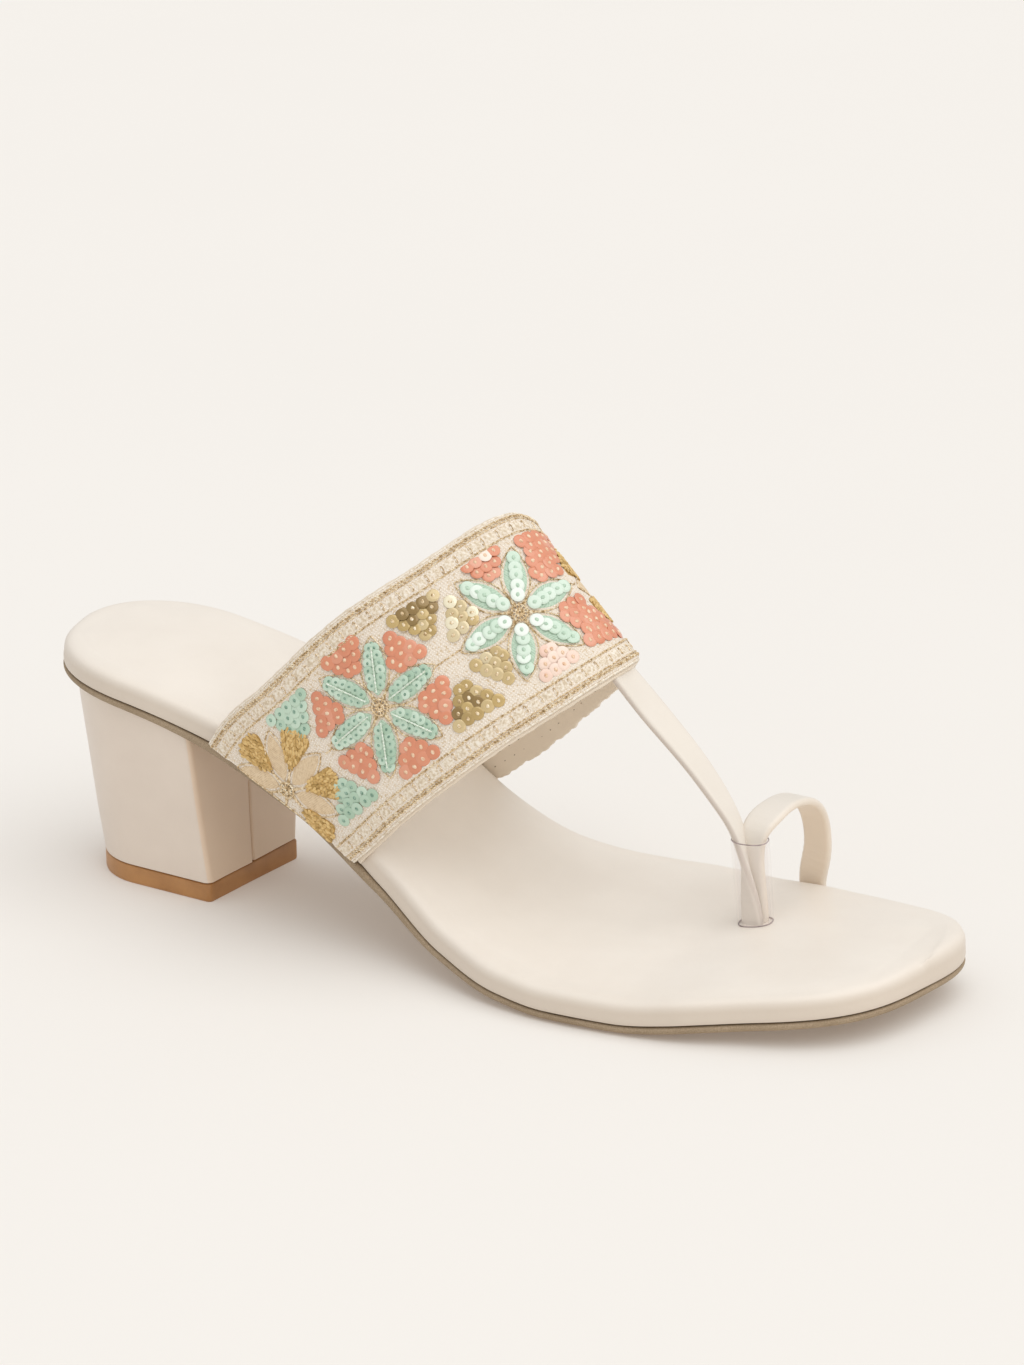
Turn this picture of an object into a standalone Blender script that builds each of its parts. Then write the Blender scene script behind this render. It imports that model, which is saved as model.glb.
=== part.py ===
"""Block heel sandal for a right foot.

An embroidered band crosses the instep, a narrow strap runs from it to a post between the toes, and the
same strap carries on as a loop around the big toe.  Metres, +Z up, +X to the toe, +Y to the big-toe side.
Inside the script X counts from the back of the heel; the finished sandal is centred on its own box.
"""
import math
from collections import namedtuple

import bmesh
import bpy
import numpy as np

# Gap kept between pieces that are glued or pressed together
GAP = 0.0003

# Sole
LENGTH = 0.2540
OUTSOLE_THICK = 0.0032
INSOLE_THICK = 0.0077
HEEL_ROUND = 0.0320
HEEL_POWER = 2.1
TOE_ROUND = 0.0390
TOE_POWER = 3.0
TOE_SKEW = 0.20
SKEW_START = 0.1550
SKEW_END = 0.2300
OUTLINE_STEPS = 500
SIDE_STATIONS = 48
CLOSER_ON_BENDS = 0.016
SLOPE_REACH = 0.0010

Section = namedtuple("Section", "at lateral medial seam")
SECTIONS = (
    Section(at=0.000, lateral=0.0286, medial=0.0287, seam=0.0597),
    Section(at=0.030, lateral=0.0286, medial=0.0288, seam=0.0556),
    Section(at=0.060, lateral=0.0287, medial=0.0293, seam=0.0492),
    Section(at=0.090, lateral=0.0290, medial=0.0283, seam=0.0378),
    Section(at=0.115, lateral=0.0322, medial=0.0293, seam=0.0210),
    Section(at=0.137, lateral=0.0388, medial=0.0349, seam=0.0091),
    Section(at=0.157, lateral=0.0447, medial=0.0425, seam=0.0044),
    Section(at=0.172, lateral=0.0461, medial=0.0468, seam=OUTSOLE_THICK),
    Section(at=0.190, lateral=0.0452, medial=0.0464, seam=OUTSOLE_THICK),
    Section(at=0.212, lateral=0.0418, medial=0.0405, seam=0.0056),
    Section(at=0.232, lateral=0.0348, medial=0.0361, seam=0.0077),
    Section(at=0.254, lateral=0.0310, medial=0.0348, seam=0.0099),
)

EdgeStep = namedtuple("EdgeStep", "inset lift")
INSOLE_EDGE = (
    EdgeStep(inset=0.0012, lift=GAP),
    EdgeStep(inset=0.0002, lift=0.0012),
    EdgeStep(inset=0.0000, lift=0.0030),
    EdgeStep(inset=0.0005, lift=0.0048),
    EdgeStep(inset=0.0017, lift=0.0063),
    EdgeStep(inset=0.0037, lift=0.0073),
    EdgeStep(inset=0.0066, lift=INSOLE_THICK),
)
OUTSOLE_EDGE = (
    EdgeStep(inset=0.0005, lift=0.0),
    EdgeStep(inset=0.0004, lift=-0.0022),
    EdgeStep(inset=0.0014, lift=-OUTSOLE_THICK),
)
INSOLE_COLUMNS = 6
OUTSOLE_COLUMNS = 4

# Heel block and its top lift, D shaped with a flat breast towards the toe
LIFT_THICK = 0.0050
LiftLevel = namedtuple("LiftLevel", "z share")
LIFT_LEVELS = (
    LiftLevel(z=0.0, share=0.985),
    LiftLevel(z=0.0004, share=1.0),
    LiftLevel(z=LIFT_THICK, share=1.0),
)
HEEL_CORNER = 0.0045
HeelLevel = namedtuple("HeelLevel", "down back breast lateral medial")
HEEL_LEVELS = (
    HeelLevel(down=0.00, back=0.0036, breast=0.0543, lateral=0.0258, medial=0.0268),
    HeelLevel(down=0.12, back=0.0043, breast=0.0546, lateral=0.0252, medial=0.0259),
    HeelLevel(down=0.45, back=0.0068, breast=0.0555, lateral=0.0233, medial=0.0230),
    HeelLevel(down=0.75, back=0.0091, breast=0.0563, lateral=0.0219, medial=0.0205),
    HeelLevel(down=1.00, back=0.0105, breast=0.0570, lateral=0.0209, medial=0.0186),
)
HEEL_TURN = math.radians(-3.0)
HEEL_PIVOT = 0.0300
HEEL_BACK_STEPS = 10
HEEL_SIDE_STEPS = 4
HEEL_CORNER_STEPS = 4

# Instep band, given by the back and front edges of its outermost face
WALL = 0.0013
PANEL_THICK = 0.0014
BORDER_STEP = 0.00035
SEAT_BACK = 0.0625
SEAT_FRONT = 0.1078
SEAT_LIFT = 0.0
SEAT_OUT = 2 * GAP + WALL + PANEL_THICK
HUG_SHARE = 0.12
BAND_STATIONS = 60
BAND_REACH = 0.002
BandRow = namedtuple("BandRow", "back_x back_y back_z front_x front_y front_z")
BAND_ROWS = (
    BandRow(0.0684, -0.0330, 0.0563, 0.1126, -0.0343, 0.0302),
    BandRow(0.0790, -0.0332, 0.0662, 0.1214, -0.0342, 0.0391),
    BandRow(0.0927, -0.0306, 0.0803, 0.1345, -0.0305, 0.0513),
    BandRow(0.1044, -0.0255, 0.0914, 0.1452, -0.0244, 0.0607),
    BandRow(0.1169, -0.0142, 0.1014, 0.1566, -0.0135, 0.0698),
    BandRow(0.1267, 0.0015, 0.1099, 0.1650, 0.0005, 0.0765),
    BandRow(0.1304, 0.0115, 0.1110, 0.1662, 0.0105, 0.0775),
    BandRow(0.1309, 0.0190, 0.1074, 0.1632, 0.0183, 0.0752),
    BandRow(0.1255, 0.0267, 0.1003, 0.1545, 0.0260, 0.0660),
    BandRow(0.1120, 0.0322, 0.0875, 0.1430, 0.0312, 0.0552),
    BandRow(0.0945, 0.0342, 0.0720, 0.1273, 0.0334, 0.0407),
    BandRow(0.0775, 0.0340, 0.0590, 0.1135, 0.0328, 0.0302),
)

# Cross-section of the embroidered panel: place across the band and depth below its outermost face
PANEL_ROUND = 0.0003
PanelStep = namedtuple("PanelStep", "across depth")
PANEL_SECTION = (
    PanelStep(across=0.000, depth=PANEL_THICK - PANEL_ROUND),
    PanelStep(across=0.004, depth=PANEL_ROUND),
    PanelStep(across=0.018, depth=0.0),
    PanelStep(across=0.150, depth=0.0),
    PanelStep(across=0.160, depth=BORDER_STEP),
    PanelStep(across=0.380, depth=BORDER_STEP),
    PanelStep(across=0.620, depth=BORDER_STEP),
    PanelStep(across=0.840, depth=BORDER_STEP),
    PanelStep(across=0.850, depth=0.0),
    PanelStep(across=0.982, depth=0.0),
    PanelStep(across=0.996, depth=PANEL_ROUND),
    PanelStep(across=1.000, depth=PANEL_THICK - PANEL_ROUND),
    PanelStep(across=0.970, depth=PANEL_THICK),
    PanelStep(across=0.650, depth=PANEL_THICK),
    PanelStep(across=0.350, depth=PANEL_THICK),
    PanelStep(across=0.030, depth=PANEL_THICK),
)

# The band's backing, wider than the panel by a narrow margin and tucked under the insole at both ends
MARGIN = 0.016
WALL_ACROSS = (-MARGIN, 0.2, 0.4, 0.6, 0.8, 1.0 + MARGIN)
WALL_DEPTH = PANEL_THICK + GAP
TUCK = 0.0100
TUCK_START = 0.018
TUCK_RISE = 0.0030
Fold = namedtuple("Fold", "outer_inset outer_lift inner_inset inner_lift")
TUCK_FOLDS = (
    Fold(outer_inset=TUCK, outer_lift=GAP, inner_inset=TUCK, inner_lift=GAP + WALL),
    Fold(outer_inset=0.0050, outer_lift=GAP, inner_inset=0.0050, inner_lift=GAP + WALL),
    Fold(outer_inset=0.0006, outer_lift=GAP, inner_inset=0.0010, inner_lift=GAP + WALL),
    Fold(outer_inset=-0.0010, outer_lift=0.0008, inner_inset=-GAP, inner_lift=0.0017),
)
REBATE_SIDE = 0.0008
REBATE_OUTSIDE = 0.0050
REBATE_BELOW = 0.0010
REBATE_STATIONS = 10

# Toe strap and toe loop: one folded strap, its width turned from +Y towards +X and tilted up, in degrees
STRAP_WIDTH = 0.0084
STRAP_THICK = 0.0022
STRAP_POST_WIDTH = 0.0062
STRAP_AT = 0.522
STRAP_ENDS = (0.66, 0.82, 0.97)
STRAP_BITE = 0.0005
STRAP_SPAN = 0.01
STRAP_STEPS = 600
STRAP_CLOSER = 0.004
STRAP_STATIONS = 34
LOOP_STATIONS = 46
EDGE_STEPS = 4
StrapRow = namedtuple("StrapRow", "x y z turn tilt width thick")
STRAP_ROWS = (
    StrapRow(0.1735, 0.0100, 0.0640, 16, 0, STRAP_WIDTH, STRAP_THICK),
    StrapRow(0.1843, 0.0100, 0.0532, 8, 0, STRAP_WIDTH, STRAP_THICK),
    StrapRow(0.1920, 0.0100, 0.0440, 2, 0, 0.0072, STRAP_THICK),
    StrapRow(0.1962, 0.0100, 0.0375, -4, 0, 0.0058, STRAP_THICK),
    StrapRow(0.1980, 0.0099, 0.0320, -14, 0, 0.0054, STRAP_THICK),
    StrapRow(0.1996, 0.0096, 0.0240, -50, 0, 0.0056, STRAP_THICK),
    StrapRow(0.2010, 0.0093, 0.0160, -80, 0, STRAP_POST_WIDTH, STRAP_THICK),
    StrapRow(0.2014, 0.0093, 0.0120, -86, 0, STRAP_POST_WIDTH, STRAP_THICK),
    StrapRow(0.2015, 0.0093, 0.0070, -86, 0, STRAP_POST_WIDTH, STRAP_THICK),
)
LOOP_ROWS = (
    StrapRow(0.2019, 0.0113, 0.0070, 94, 0, STRAP_POST_WIDTH, STRAP_THICK),
    StrapRow(0.2018, 0.0113, 0.0130, 94, 0, STRAP_POST_WIDTH, STRAP_THICK),
    StrapRow(0.2012, 0.0113, 0.0240, 92, 0, STRAP_POST_WIDTH, STRAP_THICK),
    StrapRow(0.2007, 0.0114, 0.0320, 90, 0, STRAP_POST_WIDTH, STRAP_THICK),
    StrapRow(0.2008, 0.0124, 0.0368, 90, 0, 0.0068, STRAP_THICK),
    StrapRow(0.2013, 0.0165, 0.0396, 90, 0, STRAP_WIDTH, STRAP_THICK),
    StrapRow(0.2015, 0.0220, 0.0407, 90, 0, STRAP_WIDTH, STRAP_THICK),
    StrapRow(0.2015, 0.0280, 0.0403, 90, 0, STRAP_WIDTH, STRAP_THICK),
    StrapRow(0.2013, 0.0347, 0.0382, 92, 0, STRAP_WIDTH, STRAP_THICK),
    StrapRow(0.2010, 0.0399, 0.0338, 95, 0, STRAP_WIDTH, STRAP_THICK),
    StrapRow(0.2007, 0.0433, 0.0277, 98, 0, STRAP_WIDTH, STRAP_THICK),
    StrapRow(0.2004, 0.0452, 0.0205, 100, 0, STRAP_WIDTH, STRAP_THICK),
)
LOOP_FOOT_X = 0.2001
LOOP_FOOT_TURN = 101
LOOP_TAIL_THICK = 0.0013
LOOP_TAIL_LIFT = 0.00096
FootRow = namedtuple("FootRow", "inset lift thick")
LOOP_FOOT = (
    FootRow(inset=-0.0015, lift=0.0070, thick=STRAP_THICK),
    FootRow(inset=-0.0013, lift=0.0036, thick=0.0019),
    FootRow(inset=-0.0006, lift=0.0014, thick=LOOP_TAIL_THICK),
    FootRow(inset=0.0012, lift=LOOP_TAIL_LIFT, thick=LOOP_TAIL_THICK),
    FootRow(inset=0.0050, lift=LOOP_TAIL_LIFT, thick=LOOP_TAIL_THICK),
    FootRow(inset=0.0080, lift=LOOP_TAIL_LIFT, thick=LOOP_TAIL_THICK),
)

# Clear sleeve around the post
PostLevel = namedtuple("PostLevel", "x y z")
POST_LOW = PostLevel(0.2017, 0.0103, 0.0130)
POST_HIGH = PostLevel(0.1998, 0.0102, 0.0352)
POST_TURN = 12.0
SLEEVE_HALF_LONG = 0.0054
SLEEVE_HALF_SHORT = 0.0045
SLEEVE_WALL = 0.0007
SLEEVE_POWER = 2.4
SLEEVE_SIDES = 28
SLOT_DEEP = 0.0200
SleeveRing = namedtuple("SleeveRing", "grow share drop")
SLEEVE_RINGS = (
    SleeveRing(grow=SLEEVE_WALL, share=0.0, drop=0.0),
    SleeveRing(grow=SLEEVE_WALL, share=0.5, drop=0.0),
    SleeveRing(grow=SLEEVE_WALL, share=1.0, drop=SLEEVE_WALL / 2),
    SleeveRing(grow=SLEEVE_WALL / 2, share=1.0, drop=0.0),
    SleeveRing(grow=0.0, share=1.0, drop=SLEEVE_WALL / 2),
    SleeveRing(grow=0.0, share=0.5, drop=0.0),
    SleeveRing(grow=0.0, share=0.0, drop=0.0),
)

SMOOTH_ANGLE = math.radians(38)
SEAM_MERGE = 0.00002

# Colours and finish of each piece
Finish = namedtuple("Finish", "colour roughness")
FINISHES = {
    "outsole": Finish((0.36, 0.31, 0.25), 0.65),
    "insole": Finish((0.84, 0.77, 0.68), 0.42),
    "heel_block": Finish((0.84, 0.78, 0.70), 0.45),
    "heel_top_lift": Finish((0.38, 0.24, 0.14), 0.50),
    "upper": Finish((0.84, 0.76, 0.66), 0.48),
    "band_panel": Finish((0.80, 0.66, 0.50), 0.70),
    "post_sleeve": Finish((0.86, 0.84, 0.84), 0.12),
}


# Curves


def column(rows, name):
    """One named column of a table."""
    return np.array([getattr(row, name) for row in rows])


def level_curve(at, values, where):
    """Smooth curve through a table column that never swings past its rows."""
    slope = np.diff(values) / np.diff(at)
    tangent = np.concatenate(([slope[0]], np.zeros(len(slope) - 1), [slope[-1]]))
    for i in range(1, len(slope)):
        if slope[i - 1] * slope[i] > 0:
            tangent[i] = 2 * slope[i - 1] * slope[i] / (slope[i - 1] + slope[i])
    i = np.clip(np.searchsorted(at, where) - 1, 0, len(slope) - 1)
    span = at[i + 1] - at[i]
    t = (where - at[i]) / span
    start = values[i] * (1 + 2 * t) * (1 - t) ** 2 + span * tangent[i] * t * (1 - t) ** 2
    end = values[i + 1] * t ** 2 * (3 - 2 * t) + span * tangent[i + 1] * t ** 2 * (t - 1)
    return start + end


def spline(knots, values, where):
    """Natural cubic curve through points, with knots as its parameter."""
    count = len(knots)
    span = np.diff(knots)
    rate = np.diff(values, axis=0) / span[:, None]
    matrix = np.eye(count)
    change = np.zeros_like(values)
    for i in range(1, count - 1):
        matrix[i, i - 1:i + 2] = span[i - 1], 2 * (span[i - 1] + span[i]), span[i]
        change[i] = 6 * (rate[i] - rate[i - 1])
    bend = np.linalg.solve(matrix, change)
    i = np.clip(np.searchsorted(knots, where) - 1, 0, count - 2)
    width = span[i][:, None]
    t = (np.asarray(where)[:, None] - knots[i][:, None]) / width
    line = values[i] * (1 - t) + values[i + 1] * t
    sag = ((1 - t) ** 3 - (1 - t)) * bend[i] + (t ** 3 - t) * bend[i + 1]
    return line + sag * width ** 2 / 6


def chord_knots(points):
    """Running distance along a row of points."""
    return np.concatenate(([0.0], np.cumsum(np.linalg.norm(np.diff(points, axis=0), axis=1))))


def spread(path, count, closer):
    """Places for count + 1 stations on a fine path, closer together where it bends."""
    step = np.diff(path, axis=0)
    length = np.linalg.norm(step, axis=1)
    heading = step / length[:, None]
    turn = np.arccos(np.clip((heading[1:] * heading[:-1]).sum(axis=1), -1, 1))
    weight = np.concatenate(([0.0], np.cumsum(length + closer * np.concatenate(([0.0], turn)))))
    return np.interp(np.linspace(0, weight[-1], count + 1), weight, np.arange(len(path)))


def pick(values, places):
    """Rows of a fine array at fractional places."""
    index = np.arange(len(values))
    return np.stack([np.interp(places, index, values[:, k]) for k in range(values.shape[1])], axis=1)


def unit(vectors):
    return vectors / np.linalg.norm(vectors, axis=-1, keepdims=True)


# Sole: outline, profile and points above or below the seam between insole and outsole


def seam_height(x):
    return level_curve(column(SECTIONS, "at"), column(SECTIONS, "seam"), np.clip(x, 0, LENGTH))


def seam_normal(x):
    """Upward unit normal of the sole's profile, as its X and Z parts."""
    slope = (seam_height(x + SLOPE_REACH) - seam_height(x - SLOPE_REACH)) / (2 * SLOPE_REACH)
    long = np.hypot(1, slope)
    return -slope / long, 1 / long


def sole_point(x, y, lift):
    """Point at a distance from the seam, square to the sole's profile."""
    normal_x, normal_z = seam_normal(x)
    return np.stack(np.broadcast_arrays(x + lift * normal_x, y, seam_height(x) + lift * normal_z), axis=-1)


def end_round(distance, length, power):
    """Share of the full width near a rounded end."""
    short = np.clip(1 - distance / length, 0, 1)
    return (1 - short ** power) ** (1 / power)


def half_width(x, side):
    width = level_curve(column(SECTIONS, "at"), column(SECTIONS, "medial" if side > 0 else "lateral"), x)
    heel = end_round(x, HEEL_ROUND, HEEL_POWER)
    toe = end_round(LENGTH - x, TOE_ROUND, TOE_POWER)
    return width * heel * toe


def side_path(side):
    """One side of the outline from the heel's back to the toe, with the toe's front set at a slant."""
    x = LENGTH * (1 - np.cos(np.linspace(0, math.pi, OUTLINE_STEPS))) / 2
    y = side * half_width(x, side)
    ease = np.clip((x - SKEW_START) / (SKEW_END - SKEW_START), 0, 1)
    return np.stack((x + TOE_SKEW * y * ease * ease * (3 - 2 * ease), y), axis=1)


LATERAL_PATH = side_path(-1)
MEDIAL_PATH = side_path(+1)[::-1]
OUTLINE = np.concatenate((LATERAL_PATH, MEDIAL_PATH[1:-1]))
OUTLINE_TANGENT = unit(np.roll(OUTLINE, -1, axis=0) - np.roll(OUTLINE, 1, axis=0))
OUTLINE_INWARD = np.stack((-OUTLINE_TANGENT[:, 1], OUTLINE_TANGENT[:, 0]), axis=1)
OUTLINE_PLACES = np.concatenate((
    spread(LATERAL_PATH, SIDE_STATIONS, CLOSER_ON_BENDS)[:-1],
    len(LATERAL_PATH) - 1 + spread(MEDIAL_PATH, SIDE_STATIONS, CLOSER_ON_BENDS)[:-1],
))


def plan_ring(inset):
    """Outline of the sole in plan, moved in from its edge."""
    closed = OUTLINE + inset * OUTLINE_INWARD
    return pick(np.concatenate((closed, closed[:1])), OUTLINE_PLACES)


def medial_edge(x):
    """Half-width on the big-toe side at a finished place along the sandal, slant included."""
    path = MEDIAL_PATH[::-1]
    return np.interp(x, path[:, 0], path[:, 1])


# Meshes


class Shell:
    """Vertices and faces of one closed body."""

    def __init__(self):
        self.points = []
        self.faces = []

    def ring(self, points):
        start = len(self.points)
        self.points.extend(tuple(map(float, point)) for point in points)
        return list(range(start, start + len(points)))

    def bridge(self, low, high):
        count = len(low)
        for i in range(count):
            j = (i + 1) % count
            self.faces.append((low[i], low[j], high[j], high[i]))

    def rungs(self, ring, plan, surface, columns):
        """Fill a ring whose two sides mirror each other, row by row from its back point."""
        count = len(ring)
        rows = []
        for i in range(1, (count - 1) // 2 + 1):
            share = np.arange(1, columns)[:, None] / columns
            inner = plan[i] * (1 - share) + plan[count - i] * share
            between = self.ring(surface(inner[:, 0], inner[:, 1])) if columns > 1 else []
            rows.append([ring[i]] + between + [ring[count - i]])
        for row, after in zip(rows, rows[1:]):
            for j in range(columns):
                self.faces.append((row[j], row[j + 1], after[j + 1], after[j]))
        for j in range(columns):
            self.faces.append((ring[0], rows[0][j + 1], rows[0][j]))
            if count % 2 == 0:
                self.faces.append((ring[count // 2], rows[-1][j], rows[-1][j + 1]))

    def loft(self, rings):
        """Tube through rings of points, closed at both ends."""
        index = [self.ring(ring) for ring in rings]
        for low, high in zip(index, index[1:]):
            self.bridge(low, high)
        self.faces.append(tuple(index[0]))
        self.faces.append(tuple(reversed(index[-1])))
        return self

    def build(self, name):
        mesh = bpy.data.meshes.new(name)
        mesh.from_pydata(self.points, [], self.faces)
        tidy = bmesh.new()
        tidy.from_mesh(mesh)
        bmesh.ops.recalc_face_normals(tidy, faces=tidy.faces)
        tidy.to_mesh(mesh)
        tidy.free()
        piece = bpy.data.objects.new(name, mesh)
        bpy.context.scene.collection.objects.link(piece)
        return piece


def drop_flaps(tidy):
    """Remove pairs of triangles that lie back to back on the same three corners."""
    tidy.verts.index_update()
    corners = {}
    for face in tidy.faces:
        corners.setdefault(frozenset(vertex.index for vertex in face.verts), []).append(face)
    flaps = [face for faces in corners.values() if len(faces) > 1 for face in faces]
    bmesh.ops.delete(tidy, geom=flaps, context="FACES")


def combine(piece, others, operation):
    """Apply Booleans with the other pieces, which are used up."""
    for other in others:
        step = piece.modifiers.new(operation.lower(), "BOOLEAN")
        step.operation = operation
        step.solver = "EXACT"
        step.object = other
    bpy.context.view_layer.update()
    done = bpy.data.meshes.new_from_object(piece.evaluated_get(bpy.context.evaluated_depsgraph_get()))
    tidy = bmesh.new()
    tidy.from_mesh(done)
    bmesh.ops.remove_doubles(tidy, verts=tidy.verts, dist=SEAM_MERGE)
    bmesh.ops.dissolve_degenerate(tidy, edges=tidy.edges, dist=SEAM_MERGE)
    bmesh.ops.triangulate(tidy, faces=tidy.faces, ngon_method="EAR_CLIP")
    drop_flaps(tidy)
    tidy.to_mesh(done)
    tidy.free()
    piece.modifiers.clear()
    piece.data = done
    for other in others:
        bpy.data.objects.remove(other)


def finish(piece):
    """Shade a piece and give it its material."""
    look = FINISHES[piece.name]
    material = bpy.data.materials.new(piece.name)
    material.use_nodes = True
    shader = material.node_tree.nodes["Principled BSDF"]
    shader.inputs["Base Color"].default_value = (*look.colour, 1.0)
    shader.inputs["Roughness"].default_value = look.roughness
    piece.data.materials.clear()
    piece.data.materials.append(material)
    piece.data.shade_smooth()
    piece.data.set_sharp_from_angle(angle=SMOOTH_ANGLE)


# Outsole and insole


def sole_layer(name, edge, columns):
    """Layer of the sole from the edge profile at its rim, filled across at its first and last step."""
    shell = Shell()
    plans = [plan_ring(step.inset) for step in edge]
    rings = [shell.ring(sole_point(plan[:, 0], plan[:, 1], step.lift)) for plan, step in zip(plans, edge)]
    for low, high in zip(rings, rings[1:]):
        shell.bridge(low, high)
    for at in (0, -1):
        lift = edge[at].lift
        shell.rungs(rings[at], plans[at], lambda x, y: sole_point(x, y, lift), columns)
    return shell.build(name)


def rebate(name, low, high, side, deep, ceiling):
    """Cutter for the recess under the insole's edge that takes a tucked strap end."""
    x = np.linspace(low - REBATE_SIDE, high + REBATE_SIDE, REBATE_STATIONS)
    edge = half_width(x, side) if high < SKEW_START else medial_edge(x)
    out = -REBATE_OUTSIDE
    deepest = deep + REBATE_SIDE
    below = -REBATE_BELOW
    corners = ((out, below), (out, ceiling), (deepest, ceiling), (deepest, below))
    rings = np.stack([sole_point(x, side * (edge - inset), lift) for inset, lift in corners], axis=1)
    return Shell().loft(rings).build(name)


def make_insole():
    insole = sole_layer("insole", INSOLE_EDGE, INSOLE_COLUMNS)
    ceiling = 2 * GAP + WALL
    cutters = [post_slot()]
    for side in (-1, 1):
        x = tuck_places(side)
        cutters.append(rebate("band_rebate", x.min(), x.max(), side, TUCK, ceiling))
    low = LOOP_FOOT_X - STRAP_WIDTH / 2
    high = LOOP_FOOT_X + STRAP_WIDTH / 2
    loop_ceiling = LOOP_TAIL_LIFT + LOOP_TAIL_THICK / 2 + GAP
    cutters.append(rebate("loop_rebate", low, high, 1, LOOP_FOOT[-1].inset, loop_ceiling))
    combine(insole, cutters, "DIFFERENCE")
    return insole


# Heel block and top lift


def heel_plan(level):
    """D-shaped outline: round back, near-straight sides and rounded corners at the flat breast."""
    middle = (level.medial - level.lateral) / 2
    wide = (level.medial + level.lateral) / 2
    angle = np.linspace(0, math.pi / 2, HEEL_BACK_STEPS + 1)
    back_x = level.back + wide * (1 - np.cos(angle))
    back_w = wide * np.sin(angle)
    corner_start = level.breast - HEEL_CORNER
    side_x = np.linspace(back_x[-1], corner_start, HEEL_SIDE_STEPS + 1)[1:]
    side_w = np.full(HEEL_SIDE_STEPS, wide)
    corner = np.linspace(0, math.pi / 2, HEEL_CORNER_STEPS + 1)[1:]
    corner_x = corner_start + HEEL_CORNER * np.sin(corner)
    corner_w = wide - HEEL_CORNER * (1 - np.cos(corner))
    x = np.concatenate((back_x, side_x, corner_x))
    width = np.concatenate((back_w, side_w, corner_w))
    lateral = np.stack((x, middle - width), axis=1)
    medial = np.stack((x, middle + width), axis=1)
    ring = np.concatenate((lateral, medial[:0:-1])) - (HEEL_PIVOT, 0)
    cos = math.cos(HEEL_TURN)
    sin = math.sin(HEEL_TURN)
    return ring @ np.array(((cos, sin), (-sin, cos))) + (HEEL_PIVOT, 0)


def heel_ceiling(x):
    """Height of the heel's top face under the outsole."""
    return seam_height(x) - (OUTSOLE_THICK + GAP) / seam_normal(x)[1]


def make_heel_block():
    floor = LIFT_THICK + GAP
    shell = Shell()
    rings = []
    for level in HEEL_LEVELS:
        plan = heel_plan(level)
        z = heel_ceiling(plan[:, 0]) * (1 - level.down) + floor * level.down
        rings.append(shell.ring(np.column_stack((plan, z))))
    for low, high in zip(rings, rings[1:]):
        shell.bridge(low, high)
    shell.rungs(rings[0], heel_plan(HEEL_LEVELS[0]), None, 1)
    shell.rungs(rings[-1], heel_plan(HEEL_LEVELS[-1]), None, 1)
    return shell.build("heel_block")


def make_heel_top_lift():
    plan = heel_plan(HEEL_LEVELS[-1])
    centre = plan.mean(axis=0)
    shell = Shell()
    rings = []
    for level in LIFT_LEVELS:
        outline = centre + (plan - centre) * level.share
        rings.append(shell.ring(np.column_stack((outline, np.full(len(plan), level.z)))))
    for low, high in zip(rings, rings[1:]):
        shell.bridge(low, high)
    shell.rungs(rings[0], plan, None, 1)
    shell.rungs(rings[-1], plan, None, 1)
    return shell.build("heel_top_lift")


# Instep band


def seat_row(side):
    """Row of the band's table where its outermost face meets the side of the sole."""
    x = np.array((SEAT_BACK, SEAT_FRONT))
    back, front = sole_point(x, side * (half_width(x, side) + SEAT_OUT), SEAT_LIFT)
    return BandRow(*back, *front)


BAND_TABLE = np.array((seat_row(-1),) + BAND_ROWS + (seat_row(+1),))
BAND_KNOTS = chord_knots((BAND_TABLE[:, :3] + BAND_TABLE[:, 3:]) / 2)


def band_flat(around, across):
    """Straight-ruled form of the band's outermost face, from the lateral seat around to the medial one."""
    edges = spline(BAND_KNOTS, BAND_TABLE, around * BAND_KNOTS[-1])
    back = edges[:, :3]
    front = edges[:, 3:]
    points = back + (front - back) * across[:, None]
    for side, from_seat in ((-1, around), (1, 1 - around)):
        hug = np.clip(1 - from_seat / HUG_SHARE, 0, 1) ** 2
        seat_x = SEAT_BACK + (SEAT_FRONT - SEAT_BACK) * across
        chord = half_width(SEAT_BACK, side) * (1 - across) + half_width(SEAT_FRONT, side) * across
        points[:, 1] += side * hug * (half_width(seat_x, side) - chord)
    return points


def band_point(around, across, depth):
    """Point at a depth below the band's outermost face."""
    around, across, depth = [np.array(a, dtype=float) for a in np.broadcast_arrays(around, across, depth)]
    shape = around.shape
    around, across, depth = around.ravel(), across.ravel(), depth.ravel()
    before = np.clip(around - BAND_REACH, 0, 1)
    after = np.clip(around + BAND_REACH, 0, 1)
    along = band_flat(after, across) - band_flat(before, across)
    over = band_flat(around, across + BAND_REACH) - band_flat(around, across - BAND_REACH)
    outward = unit(np.cross(over, along))
    return (band_flat(around, across) - outward * depth[:, None]).reshape(shape + (3,))


def tuck_places(side):
    """Places along the sole where the backing turns under the insole, from its back edge to its front."""
    around = TUCK_START if side < 0 else 1 - TUCK_START
    x = band_point(around, np.array(WALL_ACROSS), WALL_DEPTH + WALL / 2)[:, 0]
    return x - TUCK_RISE * seam_normal(x)[0]


def tuck_rings(side):
    """Sections of the backing's end, from under the insole out to the sole's edge."""
    x = tuck_places(side)
    edge = half_width(x, side)
    rings = []
    for fold in TUCK_FOLDS:
        outer = sole_point(x, side * (edge - fold.outer_inset), fold.outer_lift)
        inner = sole_point(x, side * (edge - fold.inner_inset), fold.inner_lift)
        rings.append(np.concatenate((outer, inner[::-1])))
    return rings


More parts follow.
